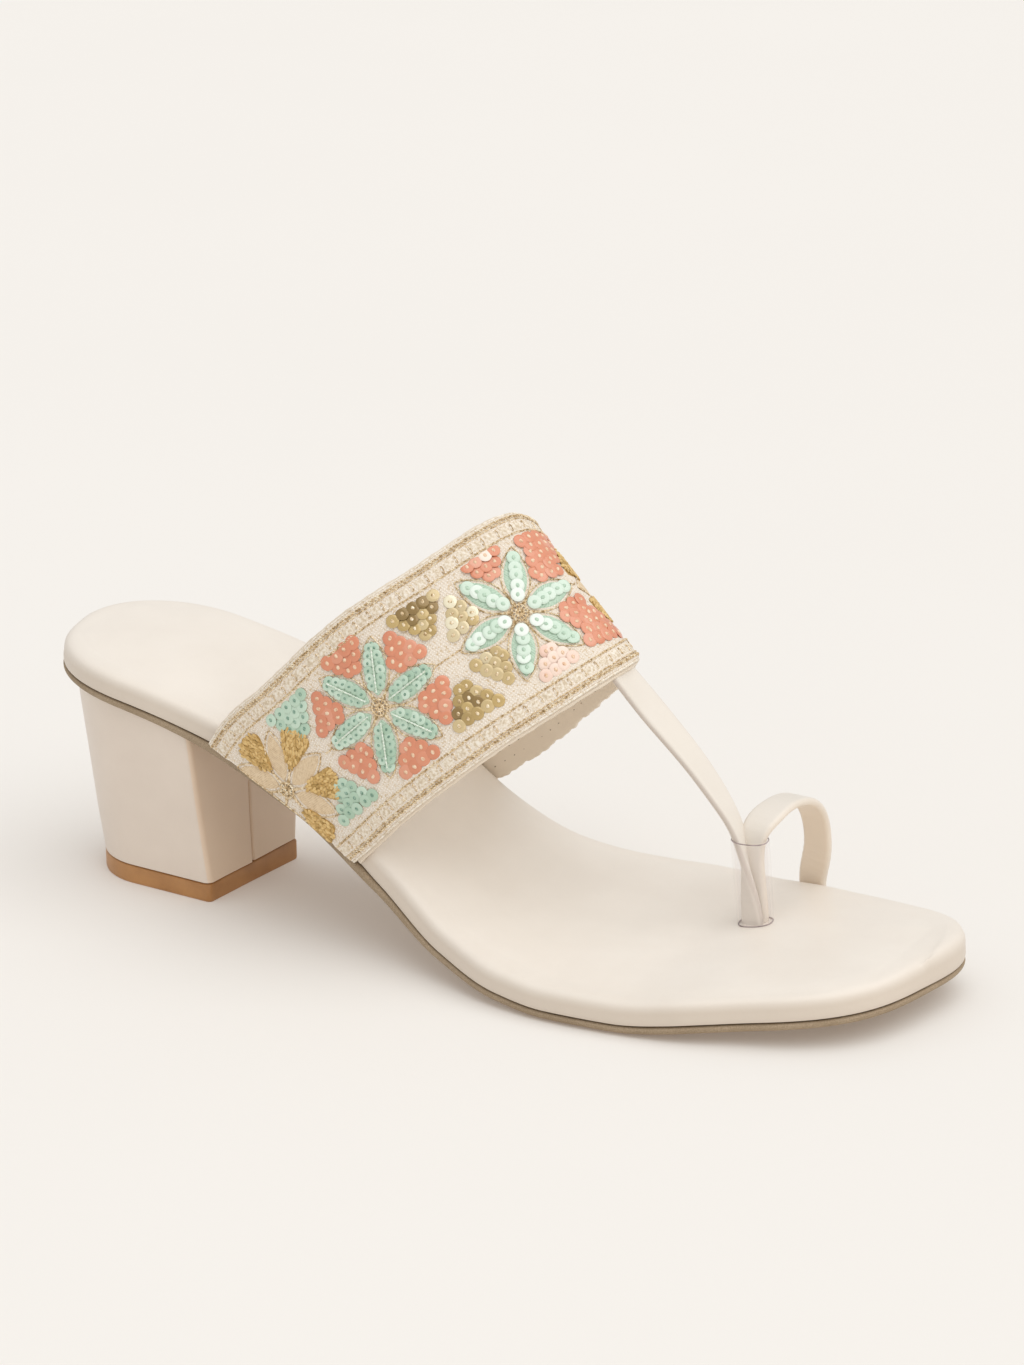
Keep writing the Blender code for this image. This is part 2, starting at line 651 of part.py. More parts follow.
def make_backing():
    across = np.array(WALL_ACROSS)
    rings = []
    for around in np.linspace(TUCK_START, 1 - TUCK_START, BAND_STATIONS + 1):
        outer = band_point(around, across, WALL_DEPTH)
        inner = band_point(around, across, WALL_DEPTH + WALL)
        rings.append(np.concatenate((outer, inner[::-1])))
    return Shell().loft(tuck_rings(-1) + rings + tuck_rings(1)[::-1]).build("upper")


def make_band_panel():
    across = column(PANEL_SECTION, "across")
    depth = column(PANEL_SECTION, "depth")
    stations = np.linspace(0, 1, BAND_STATIONS + 1)
    rings = [band_point(around, across, depth) for around in stations]
    return Shell().loft(rings).build("band_panel")


# Toe strap, toe loop and the clear sleeve


def strap_section(width, thick):
    """Flat strap with rounded edges, as places across it and above its middle."""
    radius = thick / 2
    angle = np.linspace(-math.pi / 2, math.pi / 2, EDGE_STEPS + 1)
    side = width / 2 - radius + radius * np.cos(angle)
    rise = radius * np.sin(angle)
    return np.concatenate((side, -side)), np.concatenate((rise, -rise))


def sweep_strap(name, rows, stations):
    """Strap along a smooth path through rows of place, turn, width and thickness."""
    table = np.array(rows, dtype=float)
    knots = chord_knots(table[:, :3])
    fine = spline(knots, table, np.linspace(0, knots[-1], STRAP_STEPS))
    places = spread(fine[:, :3], stations, STRAP_CLOSER)
    path = pick(fine, places)
    heading = unit(pick(np.gradient(fine[:, :3], axis=0), places))
    turn = np.radians(path[:, 3])
    tilt = np.radians(path[:, 4])
    level = np.cos(tilt)
    wide = np.stack((np.sin(turn) * level, np.cos(turn) * level, np.sin(tilt)), axis=1)
    wide = unit(wide - heading * (wide * heading).sum(axis=1, keepdims=True))
    normal = np.cross(heading, wide)
    rings = []
    for i in range(len(path)):
        side, rise = strap_section(path[i, 5], path[i, 6])
        rings.append(path[i, :3] + side[:, None] * wide[i] + rise[:, None] * normal[i])
    return Shell().loft(rings).build(name)


def make_toe_strap():
    """Strap from under the band's front edge down into the post."""
    depth = WALL_DEPTH + WALL + STRAP_THICK / 2 - STRAP_BITE
    around = (STRAP_AT - STRAP_SPAN, STRAP_AT, STRAP_AT + STRAP_SPAN)
    sewn = []
    for across in STRAP_ENDS:
        before, point, after = band_point(around, across, depth)
        x, y, z = after - before
        turn = math.degrees(math.atan2(x, y))
        tilt = math.degrees(math.atan2(z, math.hypot(x, y)))
        sewn.append(StrapRow(*point, turn, tilt, STRAP_WIDTH, STRAP_THICK))
    return sweep_strap("toe_strap", sewn + list(STRAP_ROWS), STRAP_STATIONS)


def make_toe_loop():
    """Strap from the post over the big toe and under the insole's medial edge."""
    edge = medial_edge(LOOP_FOOT_X)
    normal_x, normal_z = seam_normal(LOOP_FOOT_X)
    tilt = math.degrees(math.atan2(-normal_x, normal_z))
    foot = []
    for row in LOOP_FOOT:
        point = sole_point(LOOP_FOOT_X, edge - row.inset, row.lift)
        foot.append(StrapRow(*point, LOOP_FOOT_TURN, tilt, STRAP_WIDTH, row.thick))
    return sweep_strap("toe_loop", list(LOOP_ROWS) + foot, LOOP_STATIONS)


def make_upper():
    """Backing of the band with the toe strap and toe loop joined to it."""
    upper = make_backing()
    combine(upper, [make_toe_strap(), make_toe_loop()], "UNION")
    return upper


def post_oval(grow, z):
    """Oval around the post at a height, grown from the sleeve's bore."""
    rise = (z - POST_LOW.z) / (POST_HIGH.z - POST_LOW.z)
    angle = np.linspace(0, 2 * math.pi, SLEEVE_SIDES, endpoint=False)
    cos = np.cos(angle)
    sin = np.sin(angle)
    power = 2 / SLEEVE_POWER
    long = (SLEEVE_HALF_LONG - SLEEVE_WALL + grow) * np.sign(cos) * np.abs(cos) ** power
    short = (SLEEVE_HALF_SHORT - SLEEVE_WALL + grow) * np.sign(sin) * np.abs(sin) ** power
    turn = math.radians(POST_TURN)
    x = POST_LOW.x + (POST_HIGH.x - POST_LOW.x) * rise + long * math.cos(turn) - short * math.sin(turn)
    y = POST_LOW.y + (POST_HIGH.y - POST_LOW.y) * rise + long * math.sin(turn) + short * math.cos(turn)
    return x, y


def footbed_height(x):
    """Height of the insole's top face."""
    return seam_height(x) + INSOLE_THICK / seam_normal(x)[1]


def post_slot():
    """Cutter for the hole that takes the post's straps through the insole."""
    middle = footbed_height(POST_LOW.x)
    x, y = post_oval(0, POST_LOW.z)
    rings = [np.column_stack((x, y, np.full(len(x), z))) for z in (middle - SLOT_DEEP, middle + SLOT_DEEP)]
    return Shell().loft(rings).build("post_slot")


def make_post_sleeve():
    """Thin clear tube that stands on the insole, its rim rolled over."""
    shell = Shell()
    rings = []
    for ring in SLEEVE_RINGS:
        x, y = post_oval(ring.grow, POST_LOW.z + (POST_HIGH.z - POST_LOW.z) * ring.share)
        foot = footbed_height(x) + GAP
        z = foot * (1 - ring.share) + (POST_HIGH.z - ring.drop) * ring.share
        rings.append(shell.ring(np.column_stack((x, y, z))))
    for low, high in zip(rings, rings[1:]):
        shell.bridge(low, high)
    shell.bridge(rings[-1], rings[0])
    return shell.build("post_sleeve")


# Assembly


def centre_on_box(pieces):
    """Hang every piece from one empty, moved so that the box's bottom centre is the origin."""
    points = np.array([vertex.co[:] for piece in pieces for vertex in piece.data.vertices])
    low = points.min(axis=0)
    high = points.max(axis=0)
    sandal = bpy.data.objects.new("sandal", None)
    sandal.location = (-(low[0] + high[0]) / 2, -(low[1] + high[1]) / 2, -low[2])
    bpy.context.scene.collection.objects.link(sandal)
    for piece in pieces:
        piece.parent = sandal


def main():
    for thing in list(bpy.data.objects):
        bpy.data.objects.remove(thing)
    pieces = [
        sole_layer("outsole", OUTSOLE_EDGE, OUTSOLE_COLUMNS),
        make_insole(),
        make_heel_block(),
        make_heel_top_lift(),
        make_upper(),
        make_band_panel(),
        make_post_sleeve(),
    ]
    for piece in pieces:
        finish(piece)
    centre_on_box(pieces)


main()
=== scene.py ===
"""Looks of the block heel sandal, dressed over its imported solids.

Metres, +Z up, +X to the toe, +Y to the big-toe side.  The form's tables repeat those of the solids, with X
counted from the back of the heel; HEEL_BACK moves finished meshes into the frame.
"""
import math
from collections import namedtuple

import bpy
import numpy as np
from mathutils import Matrix, Vector


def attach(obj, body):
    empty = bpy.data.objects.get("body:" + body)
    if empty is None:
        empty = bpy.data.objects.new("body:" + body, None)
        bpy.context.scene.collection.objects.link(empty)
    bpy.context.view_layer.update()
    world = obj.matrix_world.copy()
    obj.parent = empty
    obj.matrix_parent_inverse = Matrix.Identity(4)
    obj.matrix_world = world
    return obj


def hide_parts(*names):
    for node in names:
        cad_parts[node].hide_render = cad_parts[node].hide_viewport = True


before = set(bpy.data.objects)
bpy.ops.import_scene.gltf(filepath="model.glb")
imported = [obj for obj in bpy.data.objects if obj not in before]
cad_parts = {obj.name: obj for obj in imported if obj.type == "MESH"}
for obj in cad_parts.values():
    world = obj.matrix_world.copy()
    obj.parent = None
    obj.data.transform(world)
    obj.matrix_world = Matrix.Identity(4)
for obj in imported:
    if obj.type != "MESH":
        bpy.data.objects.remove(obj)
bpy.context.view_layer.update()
HEEL_BACK = np.array((-0.128053, -0.001393, 0.0))
BODY = "root"
MM = 0.001
SHARP = math.radians(50)
GAP = 0.0003

# Sole
LENGTH = 0.2540
OUTSOLE_THICK = 0.0032
PAD_THICK = 0.0073
HEEL_ROUND = 0.0320
HEEL_POWER = 2.1
TOE_ROUND = 0.0390
TOE_POWER = 3.0
TOE_SKEW = 0.20
SKEW_START = 0.1550
SKEW_END = 0.2300
OUTLINE_STEPS = 900
SIDE_STATIONS = 150
CLOSER_ON_BENDS = 0.016
SLOPE_REACH = 0.0010
EDGE_STEPS = 36
INSOLE_COLUMNS = 44
OUTSOLE_COLUMNS = 12

Section = namedtuple("Section", "at lateral medial seam")
SECTIONS = (
    Section(0.000, 0.0286, 0.0287, 0.0597),
    Section(0.030, 0.0286, 0.0288, 0.0556),
    Section(0.060, 0.0287, 0.0293, 0.0492),
    Section(0.090, 0.0290, 0.0283, 0.0378),
    Section(0.115, 0.0322, 0.0293, 0.0210),
    Section(0.137, 0.0388, 0.0349, 0.0091),
    Section(0.157, 0.0447, 0.0425, 0.0044),
    Section(0.172, 0.0461, 0.0468, OUTSOLE_THICK),
    Section(0.190, 0.0452, 0.0464, OUTSOLE_THICK),
    Section(0.212, 0.0418, 0.0405, 0.0056),
    Section(0.232, 0.0348, 0.0361, 0.0077),
    Section(0.254, 0.0310, 0.0348, 0.0099),
)
EdgeStep = namedtuple("EdgeStep", "inset lift")
INSOLE_EDGE = (
    EdgeStep(0.0016, GAP),
    EdgeStep(0.0008, -0.0001),
    EdgeStep(0.0002, -0.0002),
    EdgeStep(0.0000, 0.0003),
    EdgeStep(0.0000, 0.0030),
    EdgeStep(0.0001, 0.0050),
    EdgeStep(0.0006, 0.0060),
    EdgeStep(0.0014, 0.0066),
    EdgeStep(0.0028, 0.0070),
    EdgeStep(0.0046, 0.0072),
    EdgeStep(0.0066, 0.0073),
)
RIM_TILT = 0.15
# Painted shade on the insole's rim: the darker rim colour holds up to this lift and fades out above it
RIM_SHADE_TOP = 0.0033
RIM_SHADE_FADE = 0.0044
CROWN = 0.0011
CROWN_REACH = 0.0090
CREASE_AT = 0.150
CREASE_SPAN = 0.012
CREASE_REACH = 0.0065
CREASE_RISE = 0.00016
CREASE_RATE_X = 1900
CREASE_RATE_Y = 260
PAD_WAVE_RISE = 0.00010
# The outsole's edge is squarer and stands out where the band's lateral end goes in above it
SQUARE_BELOW = -0.0015
SQUARE_SHARE = 0.8
SQUARE_MIDDLE = 0.085
SQUARE_SPAN = 0.045
FLARE = 0.0026
FLARE_REACH = 0.008
FLARE_SPAN = 0.022
OUTSOLE_EDGE = (
    EdgeStep(0.0020, 0.0),
    EdgeStep(0.0017, -0.0005),
    EdgeStep(0.0007, -0.0007),
    EdgeStep(0.0001, -0.0011),
    EdgeStep(0.0002, -0.0019),
    EdgeStep(0.0008, -0.0025),
    EdgeStep(0.0020, -0.0029),
    EdgeStep(0.0040, -OUTSOLE_THICK),
)

# Heel block and its top lift
HEEL_CORNER = 0.0020
LIFT_CORNER = 0.0012
LIFT_SHARP = math.radians(75)
LIFT_MIDDLE = 0.0055
LIFT_SLOPE = 0.020
LiftRing = namedtuple("LiftRing", "share inset")
LIFT_RINGS = (
    LiftRing(0.00, 0.0003),
    LiftRing(0.03, 0.0001),
    LiftRing(0.10, 0.0),
    LiftRing(0.90, 0.0),
    LiftRing(0.96, 0.0003),
    LiftRing(1.00, 0.0010),
)
HeelLevel = namedtuple("HeelLevel", "down back breast lateral medial")
HEEL_LEVELS = (
    HeelLevel(0.00, 0.0034, 0.0541, 0.0258, 0.0268),
    HeelLevel(0.12, 0.0041, 0.0543, 0.0252, 0.0259),
    HeelLevel(0.45, 0.0062, 0.0546, 0.0233, 0.0230),
    HeelLevel(0.75, 0.0082, 0.0553, 0.0219, 0.0205),
    HeelLevel(1.00, 0.0103, 0.0561, 0.0209, 0.0186),
)
HEEL_TURN = math.radians(-3.0)
HEEL_PIVOT = 0.0300
HEEL_BACK_STEPS = 30
HEEL_SIDE_STEPS = 12
HEEL_CORNER_STEPS = 9
HEEL_BREAST_STEPS = 160
HEEL_ROWS = 26
WRAP_SEAM_AT = 0.485
WRAP_SEAM_DEEP = 0.0020
WRAP_SEAM_HALF = 0.00040
WRAP_STEP = 0.00040

# Instep band
WALL = 0.0013
PANEL_THICK = 0.0014
BORDER_STEP = 0.00035
BORDER_SHARE = 0.138
BORDER_FADE = 0.012
CLOTH_RISE = np.array((0.0, 0.004, 0.018))
CLOTH_BEND = 0.0003
CLOTH_INSET = 0.03
RULINGS = 400
DIRECTION_REACH = 0.0003
SEAT_BACK = 0.0625
SEAT_FRONT = 0.1078
SEAT_OUT = 2 * GAP + WALL + PANEL_THICK
HUG_SHARE = 0.12
BAND_REACH = 0.002
CLOTH_START = 0.0040
MARGIN = 0.016
WALL_DEPTH = PANEL_THICK + GAP
TUCK_START = 0.018
TUCK_BACK = 0.003
TUCK_OUT = 0.0010
TUCK_NARROWS = 0.0007
TUCK_LIFT = 0.0006
TUCK_RISES = 0.0009
LINING_COLUMNS = 22
LINING_LIP = 0.004
Fray = namedtuple("Fray", "high rate start")
FRAYS = (Fray(0.0040, 97, 0.6), Fray(0.0035, 203, 1.9), Fray(0.0035, 391, 0.0))
FRAY_LATERAL = 0.25
BAND_STATIONS = 220
BAND_COLUMNS = 60
BandRow = namedtuple("BandRow", "back_x back_y back_z front_x front_y front_z")
BAND_ROWS = (
    BandRow(0.0684, -0.0330, 0.0563, 0.1126, -0.0343, 0.0302),
    BandRow(0.0790, -0.0332, 0.0662, 0.1214, -0.0342, 0.0391),
    BandRow(0.0927, -0.0306, 0.0803, 0.1345, -0.0305, 0.0513),
    BandRow(0.1044, -0.0255, 0.0914, 0.1452, -0.0244, 0.0607),
    BandRow(0.1169, -0.0142, 0.1014, 0.1566, -0.0135, 0.0698),
    BandRow(0.1267, 0.0015, 0.1099, 0.1650, 0.0005, 0.0765),
    BandRow(0.1304, 0.0115, 0.1110, 0.1662, 0.0105, 0.0775),
    BandRow(0.1309, 0.0190, 0.1074, 0.1632, 0.0183, 0.0752),
    BandRow(0.1255, 0.0267, 0.1003, 0.1545, 0.0260, 0.0660),
    BandRow(0.1120, 0.0322, 0.0875, 0.1430, 0.0312, 0.0552),
    BandRow(0.0945, 0.0342, 0.0720, 0.1273, 0.0334, 0.0407),
    BandRow(0.0775, 0.0340, 0.0590, 0.1135, 0.0328, 0.0302),
)

# Toe strap and toe loop
STRAP_WIDTH = 0.0084
STRAP_THICK = 0.0022
STRAP_POST_WIDTH = 0.0062
STRAP_AT = 0.510
STRAP_SEWN_WIDTH = 0.0093
STRAP_ENDS = (0.66, 0.82, 0.97)
STRAP_BITE = 0.0005
STRAP_SPAN = 0.01
STRAP_STEPS = 900
STRAP_CLOSER = 0.004
STRAP_STATIONS = 150
LOOP_STATIONS = 190
STRAP_ROUND_STEPS = 9
EDGE_TURN = math.radians(24)
STRAP_FLAT_STEPS = 8
StrapRow = namedtuple("StrapRow", "x y z turn width tilt thick", defaults=(0, STRAP_THICK))
STRAP_ROWS = (
    StrapRow(0.1735, 0.0091, 0.0640, 18, 0.0088),
    StrapRow(0.1843, 0.0096, 0.0532, 11, 0.0084),
    StrapRow(0.1920, 0.0097, 0.0440, 2, 0.0075),
    StrapRow(0.1962, 0.0097, 0.0375, -4, 0.0061),
    StrapRow(0.1980, 0.0098, 0.0320, -14, 0.0056),
    StrapRow(0.1996, 0.0096, 0.0240, -50, 0.0056),
    StrapRow(0.2010, 0.0093, 0.0160, -80, STRAP_POST_WIDTH),
    StrapRow(0.2014, 0.0093, 0.0120, -86, STRAP_POST_WIDTH),
    StrapRow(0.2015, 0.0093, 0.0070, -86, STRAP_POST_WIDTH),
)
LOOP_ROWS = (
    StrapRow(0.2019, 0.0113, 0.0070, 94, STRAP_POST_WIDTH),
    StrapRow(0.2018, 0.0113, 0.0130, 94, STRAP_POST_WIDTH),
    StrapRow(0.2010, 0.0113, 0.0240, 92, 0.0056),
    StrapRow(0.2004, 0.0114, 0.0320, 90, 0.0058),
    StrapRow(0.2003, 0.0124, 0.0368, 90, 0.0076),
    StrapRow(0.2010, 0.0165, 0.0396, 90, 0.0089),
    StrapRow(0.2015, 0.0220, 0.0407, 90, STRAP_WIDTH),
    StrapRow(0.2015, 0.0280, 0.0403, 90, STRAP_WIDTH),
    StrapRow(0.2019, 0.0350, 0.0382, 92, STRAP_WIDTH),
    StrapRow(0.2020, 0.0404, 0.0338, 95, STRAP_WIDTH),
    StrapRow(0.2018, 0.0438, 0.0277, 98, STRAP_WIDTH),
    StrapRow(0.2012, 0.0455, 0.0205, 100, STRAP_WIDTH),
)
PLEAT_AT = 0.66
PLEAT_SPAN = 0.14
PLEAT_RISE = 0.00006
PLEAT_WIDE = 0.0018
LOOP_FOOT_FOLD_AT = 0.80
LOOP_FOOT_FOLD_SPAN = 0.055
LOOP_FOOT_FOLD_RISE = 0.00007
LOOP_TOP_FOLD_AT = 0.36
LOOP_TOP_FOLD_SPAN = 0.05
LOOP_TOP_FOLD_RISE = 0.00003
LOOP_FOOT_X = 0.2001
LOOP_FOOT_TURN = 101
FootRow = namedtuple("FootRow", "inset lift thick")
LOOP_FOOT = (
    FootRow(-0.0015, 0.0070, STRAP_THICK),
    FootRow(-0.0013, 0.0036, 0.0019),
    FootRow(-0.0006, 0.0014, 0.0013),
    FootRow(0.0012, 0.00096, 0.0013),
    FootRow(0.0050, 0.00096, 0.0013),
)

# Clear sleeve around the post
PostLevel = namedtuple("PostLevel", "x y z")
POST_LOW = PostLevel(0.2017, 0.0103, 0.0130)
POST_HIGH = PostLevel(0.1998, 0.0102, 0.0352)
POST_TURN = 12.0
SLEEVE_HALF_LONG = 0.0050
SLEEVE_HALF_SHORT = 0.0043
SLEEVE_TAPER = 0.94
SLEEVE_RIM = 0.00016
RIM_SIDES = 8
SLEEVE_WALL = 0.0007
SLEEVE_POWER = 2.4
SLEEVE_SIDES = 96
SLEEVE_RIM_STEPS = 8
SLEEVE_ROWS = 16

# Camera, in the frame
EYE = np.array((0.53445, -0.87641, 0.42139))
CAMERA_RIGHT = np.array((0.8580, 0.5136, -0.0067))
CAMERA_BACK = np.array((0.4875, -0.8101, 0.3259))
PHOTO_HEIGHT = 1365
FOCAL_PIXELS = 4219.8
SENSOR_MM = 36.0


# Curves


def column(rows, name):
    """One named column of a table."""
    return np.array([getattr(row, name) for row in rows])


def level_curve(at, values, where):
    """Smooth curve through a table column that never swings past its rows."""
    slope = np.diff(values) / np.diff(at)
    tangent = np.concatenate(([slope[0]], np.zeros(len(slope) - 1), [slope[-1]]))
    for i in range(1, len(slope)):
        if slope[i - 1] * slope[i] > 0:
            tangent[i] = 2 * slope[i - 1] * slope[i] / (slope[i - 1] + slope[i])
    i = np.clip(np.searchsorted(at, where) - 1, 0, len(slope) - 1)
    span = at[i + 1] - at[i]
    t = (where - at[i]) / span
    start = values[i] * (1 + 2 * t) * (1 - t) ** 2 + span * tangent[i] * t * (1 - t) ** 2
    end = values[i + 1] * t ** 2 * (3 - 2 * t) + span * tangent[i + 1] * t ** 2 * (t - 1)
    return start + end


def spline(knots, values, where):
    """Natural cubic curve through points, with knots as its parameter."""
    count = len(knots)
    span = np.diff(knots)
    rate = np.diff(values, axis=0) / span[:, None]
    matrix = np.eye(count)
    change = np.zeros_like(values)
    for i in range(1, count - 1):
        matrix[i, i - 1:i + 2] = span[i - 1], 2 * (span[i - 1] + span[i]), span[i]
        change[i] = 6 * (rate[i] - rate[i - 1])
    bend = np.linalg.solve(matrix, change)
    i = np.clip(np.searchsorted(knots, where) - 1, 0, count - 2)
    width = span[i][:, None]
    t = (np.asarray(where)[:, None] - knots[i][:, None]) / width
    line = values[i] * (1 - t) + values[i + 1] * t
    sag = ((1 - t) ** 3 - (1 - t)) * bend[i] + (t ** 3 - t) * bend[i + 1]
    return line + sag * width ** 2 / 6


def chord_knots(points):
    """Running distance along a row of points."""
    return np.concatenate(([0.0], np.cumsum(np.linalg.norm(np.diff(points, axis=0), axis=1))))


def smooth_rows(rows, count):
    """A short table drawn out to count rows on a smooth curve."""
    table = np.array(rows, dtype=float)
    knots = chord_knots(table)
    return spline(knots, table, np.linspace(0, knots[-1], count))


def spread(path, count, closer):
    """Places for count + 1 stations on a fine path, closer together where it bends."""
    step = np.diff(path, axis=0)
    length = np.linalg.norm(step, axis=1)
    heading = step / length[:, None]
    turn = np.arccos(np.clip((heading[1:] * heading[:-1]).sum(axis=1), -1, 1))
    weight = np.concatenate(([0.0], np.cumsum(length + closer * np.concatenate(([0.0], turn)))))
    return np.interp(np.linspace(0, weight[-1], count + 1), weight, np.arange(len(path)))


def pick(values, places, knots=None):
    """Rows of a fine array at places along it, counted in rows or by its knots."""
    knots = np.arange(len(values)) if knots is None else knots
    return np.stack([np.interp(places, knots, values[:, k]) for k in range(values.shape[1])], axis=1)


def unit(vectors):
    return vectors / np.linalg.norm(vectors, axis=-1, keepdims=True)


def square_to(vectors, axis):
    """Unit directions of vectors once their part along an axis is taken off."""
    return unit(vectors - axis * (vectors * axis).sum(axis=-1, keepdims=True))


def circle(sides):
    """Angles around a full turn."""
    return np.linspace(0, 2 * math.pi, sides, endpoint=False)


def hoops(centre, aside, outward, radius, sides, tall=1.0):
    """Rings of points around a line; tall stretches them outward."""
    angle = circle(sides)[None, :, None]
    around = np.cos(angle) * aside[:, None] + tall * np.sin(angle) * outward[:, None]
    return centre[:, None] + radius * around


def bump(distance, half):
    """Soft hill, one at distance 0 and near nothing past twice its half width."""
    return np.exp(-(distance / half) ** 2)


# Meshes


def grid_faces(rows, columns, closed=False):
    """Quads of a grid of points; closed joins each row's last point to its first."""
    row = np.arange(rows - 1)[:, None] * columns
    step = np.arange(columns if closed else columns - 1)[None, :]
    after = (step + 1) % columns
    corners = (row + step, row + after, row + columns + after, row + columns + step)
    return np.stack(corners, axis=-1).reshape(-1, 4)


def tube_faces(rows, columns):
    """Quads of a tube of rings and one face at each end."""
    last = (rows - 1) * columns
    ends = [tuple(range(columns - 1, -1, -1)), tuple(range(last, last + columns))]
    return [tuple(face) for face in grid_faces(rows, columns, closed=True).tolist()] + ends


def wrap_faces(rings, sides):
    """Quads of a closed row of closed rings."""
    step = np.arange(sides)
    after = (step + 1) % sides
    last = (rings - 1) * sides
    closing = np.stack((last + step, last + after, after, step), axis=1)
    return np.concatenate((grid_faces(rings, sides, closed=True), closing))


def add_piece(name, points, faces, look, slot, uv=None, tone=None, sharp=SHARP):
    """Make a mesh piece that rides with the sandal, shaded smooth, with its look; slot is not used."""
    mesh = bpy.data.meshes.new(name)
    faces = faces.tolist() if isinstance(faces, np.ndarray) else faces
    mesh.from_pydata((np.asarray(points).reshape(-1, 3) + HEEL_BACK).tolist(), [], faces)
    mesh.shade_smooth()
    mesh.set_sharp_from_angle(angle=sharp)
    if uv is not None:
        layer = mesh.uv_layers.new(name="UVMap")
        corner = np.zeros(len(mesh.loops), dtype=np.int32)
        mesh.loops.foreach_get("vertex_index", corner)
        layer.data.foreach_set("uv", np.asarray(uv).reshape(-1, 2)[corner].astype(np.float32).ravel())
    if tone is not None:
        mesh.attributes.new("tone", "FLOAT", "POINT").data.foreach_set("value", tone.astype(np.float32))
    mesh.materials.append(LOOKS[look])
    piece = bpy.data.objects.new(name, mesh)
    bpy.context.scene.collection.objects.link(piece)
    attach(piece, BODY)
    return piece


def add_tube(name, rings, look, slot, **more):
    """Piece of rings of points, closed at both ends."""
    return add_piece(name, rings, tube_faces(*rings.shape[:2]), look, slot, **more)


# Materials


class Look:
    """One procedural material and the nodes that drive its shader."""

    def __init__(self, name, colour, roughness, **sockets):
        self.material = bpy.data.materials.new(name)
        self.material.use_nodes = True
        self.tree = self.material.node_tree
        self.shader = self.tree.nodes["Principled BSDF"]
        self.shader.inputs["Base Color"].default_value = (*colour, 1.0)
        self.shader.inputs["Roughness"].default_value = roughness
        for socket, value in sockets.items():
            self.shader.inputs[socket.replace("_", " ")].default_value = value
        self.height = None

    def feed(self, socket, value):
        """Link a socket to another one, or set its value."""
        if isinstance(value, bpy.types.NodeSocket):
            self.tree.links.new(value, socket)
        else:
            socket.default_value = value

    def node(self, kind, **inputs):
        made = self.tree.nodes.new(kind)
        for name, value in inputs.items():
            self.feed(made.inputs[name.replace("_", " ")], value)
        return made

    def place(self, kind="Object"):
        """Coordinates in metres: the frame's own, or the flat layout of a band."""
        return self.tree.nodes.new("ShaderNodeTexCoord").outputs[kind]

    def noise(self, scale, detail=3.0, roughness=0.55, place=None):
        where = self.place() if place is None else place
        return self.node("ShaderNodeTexNoise", Vector=where, Scale=scale, Detail=detail,
                         Roughness=roughness).outputs["Fac"]

    def cells(self, scale, place=None):
        where = self.place() if place is None else place
        return self.node("ShaderNodeTexVoronoi", Vector=where, Scale=scale).outputs["Distance"]

    def ribs(self, scale, direction, place, distortion=0.0):
        made = self.node("ShaderNodeTexWave", Vector=place, Scale=scale, Distortion=distortion)
        made.bands_direction = direction
        return made.outputs["Fac"]

    def attribute(self, name):
        made = self.tree.nodes.new("ShaderNodeAttribute")
        made.attribute_name = name
        return made.outputs["Fac"]

    def ramp(self, source, stops):
        """Colours along a source value: pairs of place and colour."""
        made = self.node("ShaderNodeValToRGB", Fac=source)
        points = made.color_ramp.elements
        while len(points) < len(stops):
            points.new(0.5)
        for point, (place, colour) in zip(points, stops):
            point.position = place
            point.color = (*colour, 1.0)
        return made.outputs["Color"]

    def mix(self, share, first, second, blend="MIX"):
        """Blend of two colours."""
        made = self.tree.nodes.new("ShaderNodeMix")
        made.data_type = "RGBA"
        made.blend_type = blend
        for at, value in ((0, share), (6, first), (7, second)):
            self.feed(made.inputs[at], value)
        return made.outputs[2]

    def math(self, operation, first, second):
        made = self.tree.nodes.new("ShaderNodeMath")
        made.operation = operation
        self.feed(made.inputs[0], first)
        self.feed(made.inputs[1], second)
        return made.outputs[0]

    def range(self, source, low, high):
        """A source from 0 to 1 moved to the range from low to high."""
        return self.node("ShaderNodeMapRange", Value=source, To_Min=low, To_Max=high).outputs["Result"]

    def colour(self, source):
        self.tree.links.new(source, self.shader.inputs["Base Color"])

    def rough(self, source):
        self.tree.links.new(source, self.shader.inputs["Roughness"])

    def relief(self, source, metres, strength=1.0):
        """Fine relief; several stack on each other."""
        made = self.node("ShaderNodeBump", Height=source, Distance=metres, Strength=strength)
        if self.height is not None:
            self.tree.links.new(self.height, made.inputs["Normal"])
        self.height = made.outputs["Normal"]
        self.tree.links.new(self.height, self.shader.inputs["Normal"])


Tone = namedtuple("Tone", "dark light")
Dye = namedtuple("Dye", "name dark middle light roughness metallic", defaults=(0.0,))


def faux_leather(name, high, roughness, coat, low=None):
    """Smooth coated leather: faint clouding, pebble grain and a soft gloss; low is its colour at tone 0,
    which carries painted shade where it is used.
    """
    look = Look(name, high.light, roughness, Coat_Weight=coat, Coat_Roughness=0.35)
    cloud = look.noise(55, 4)
    colour = look.ramp(cloud, ((0.30, high.dark), (0.70, high.light)))
    if low is not None:
        shade_colour = look.ramp(cloud, ((0.30, low.dark), (0.70, low.light)))
        colour = look.mix(look.attribute("tone"), shade_colour, colour)
    look.colour(colour)
    look.rough(look.range(look.noise(160, 3), roughness - 0.06, roughness + 0.08))
    look.relief(look.cells(1500), 0.00003, 0.35)
    look.relief(look.noise(420, 4), 0.00008, 0.35)
    return look.material


def thread(dye):
    """Sewn thread: tone changes from stitch to stitch, with fine fibres."""
    look = Look(dye.name, dye.middle, dye.roughness, Metallic=dye.metallic)
    look.colour(look.ramp(look.noise(1400, 2), ((0.36, dye.dark), (0.50, dye.middle), (0.64, dye.light))))
    look.relief(look.noise(5200, 2), 0.00010, 0.6)
    return look.material


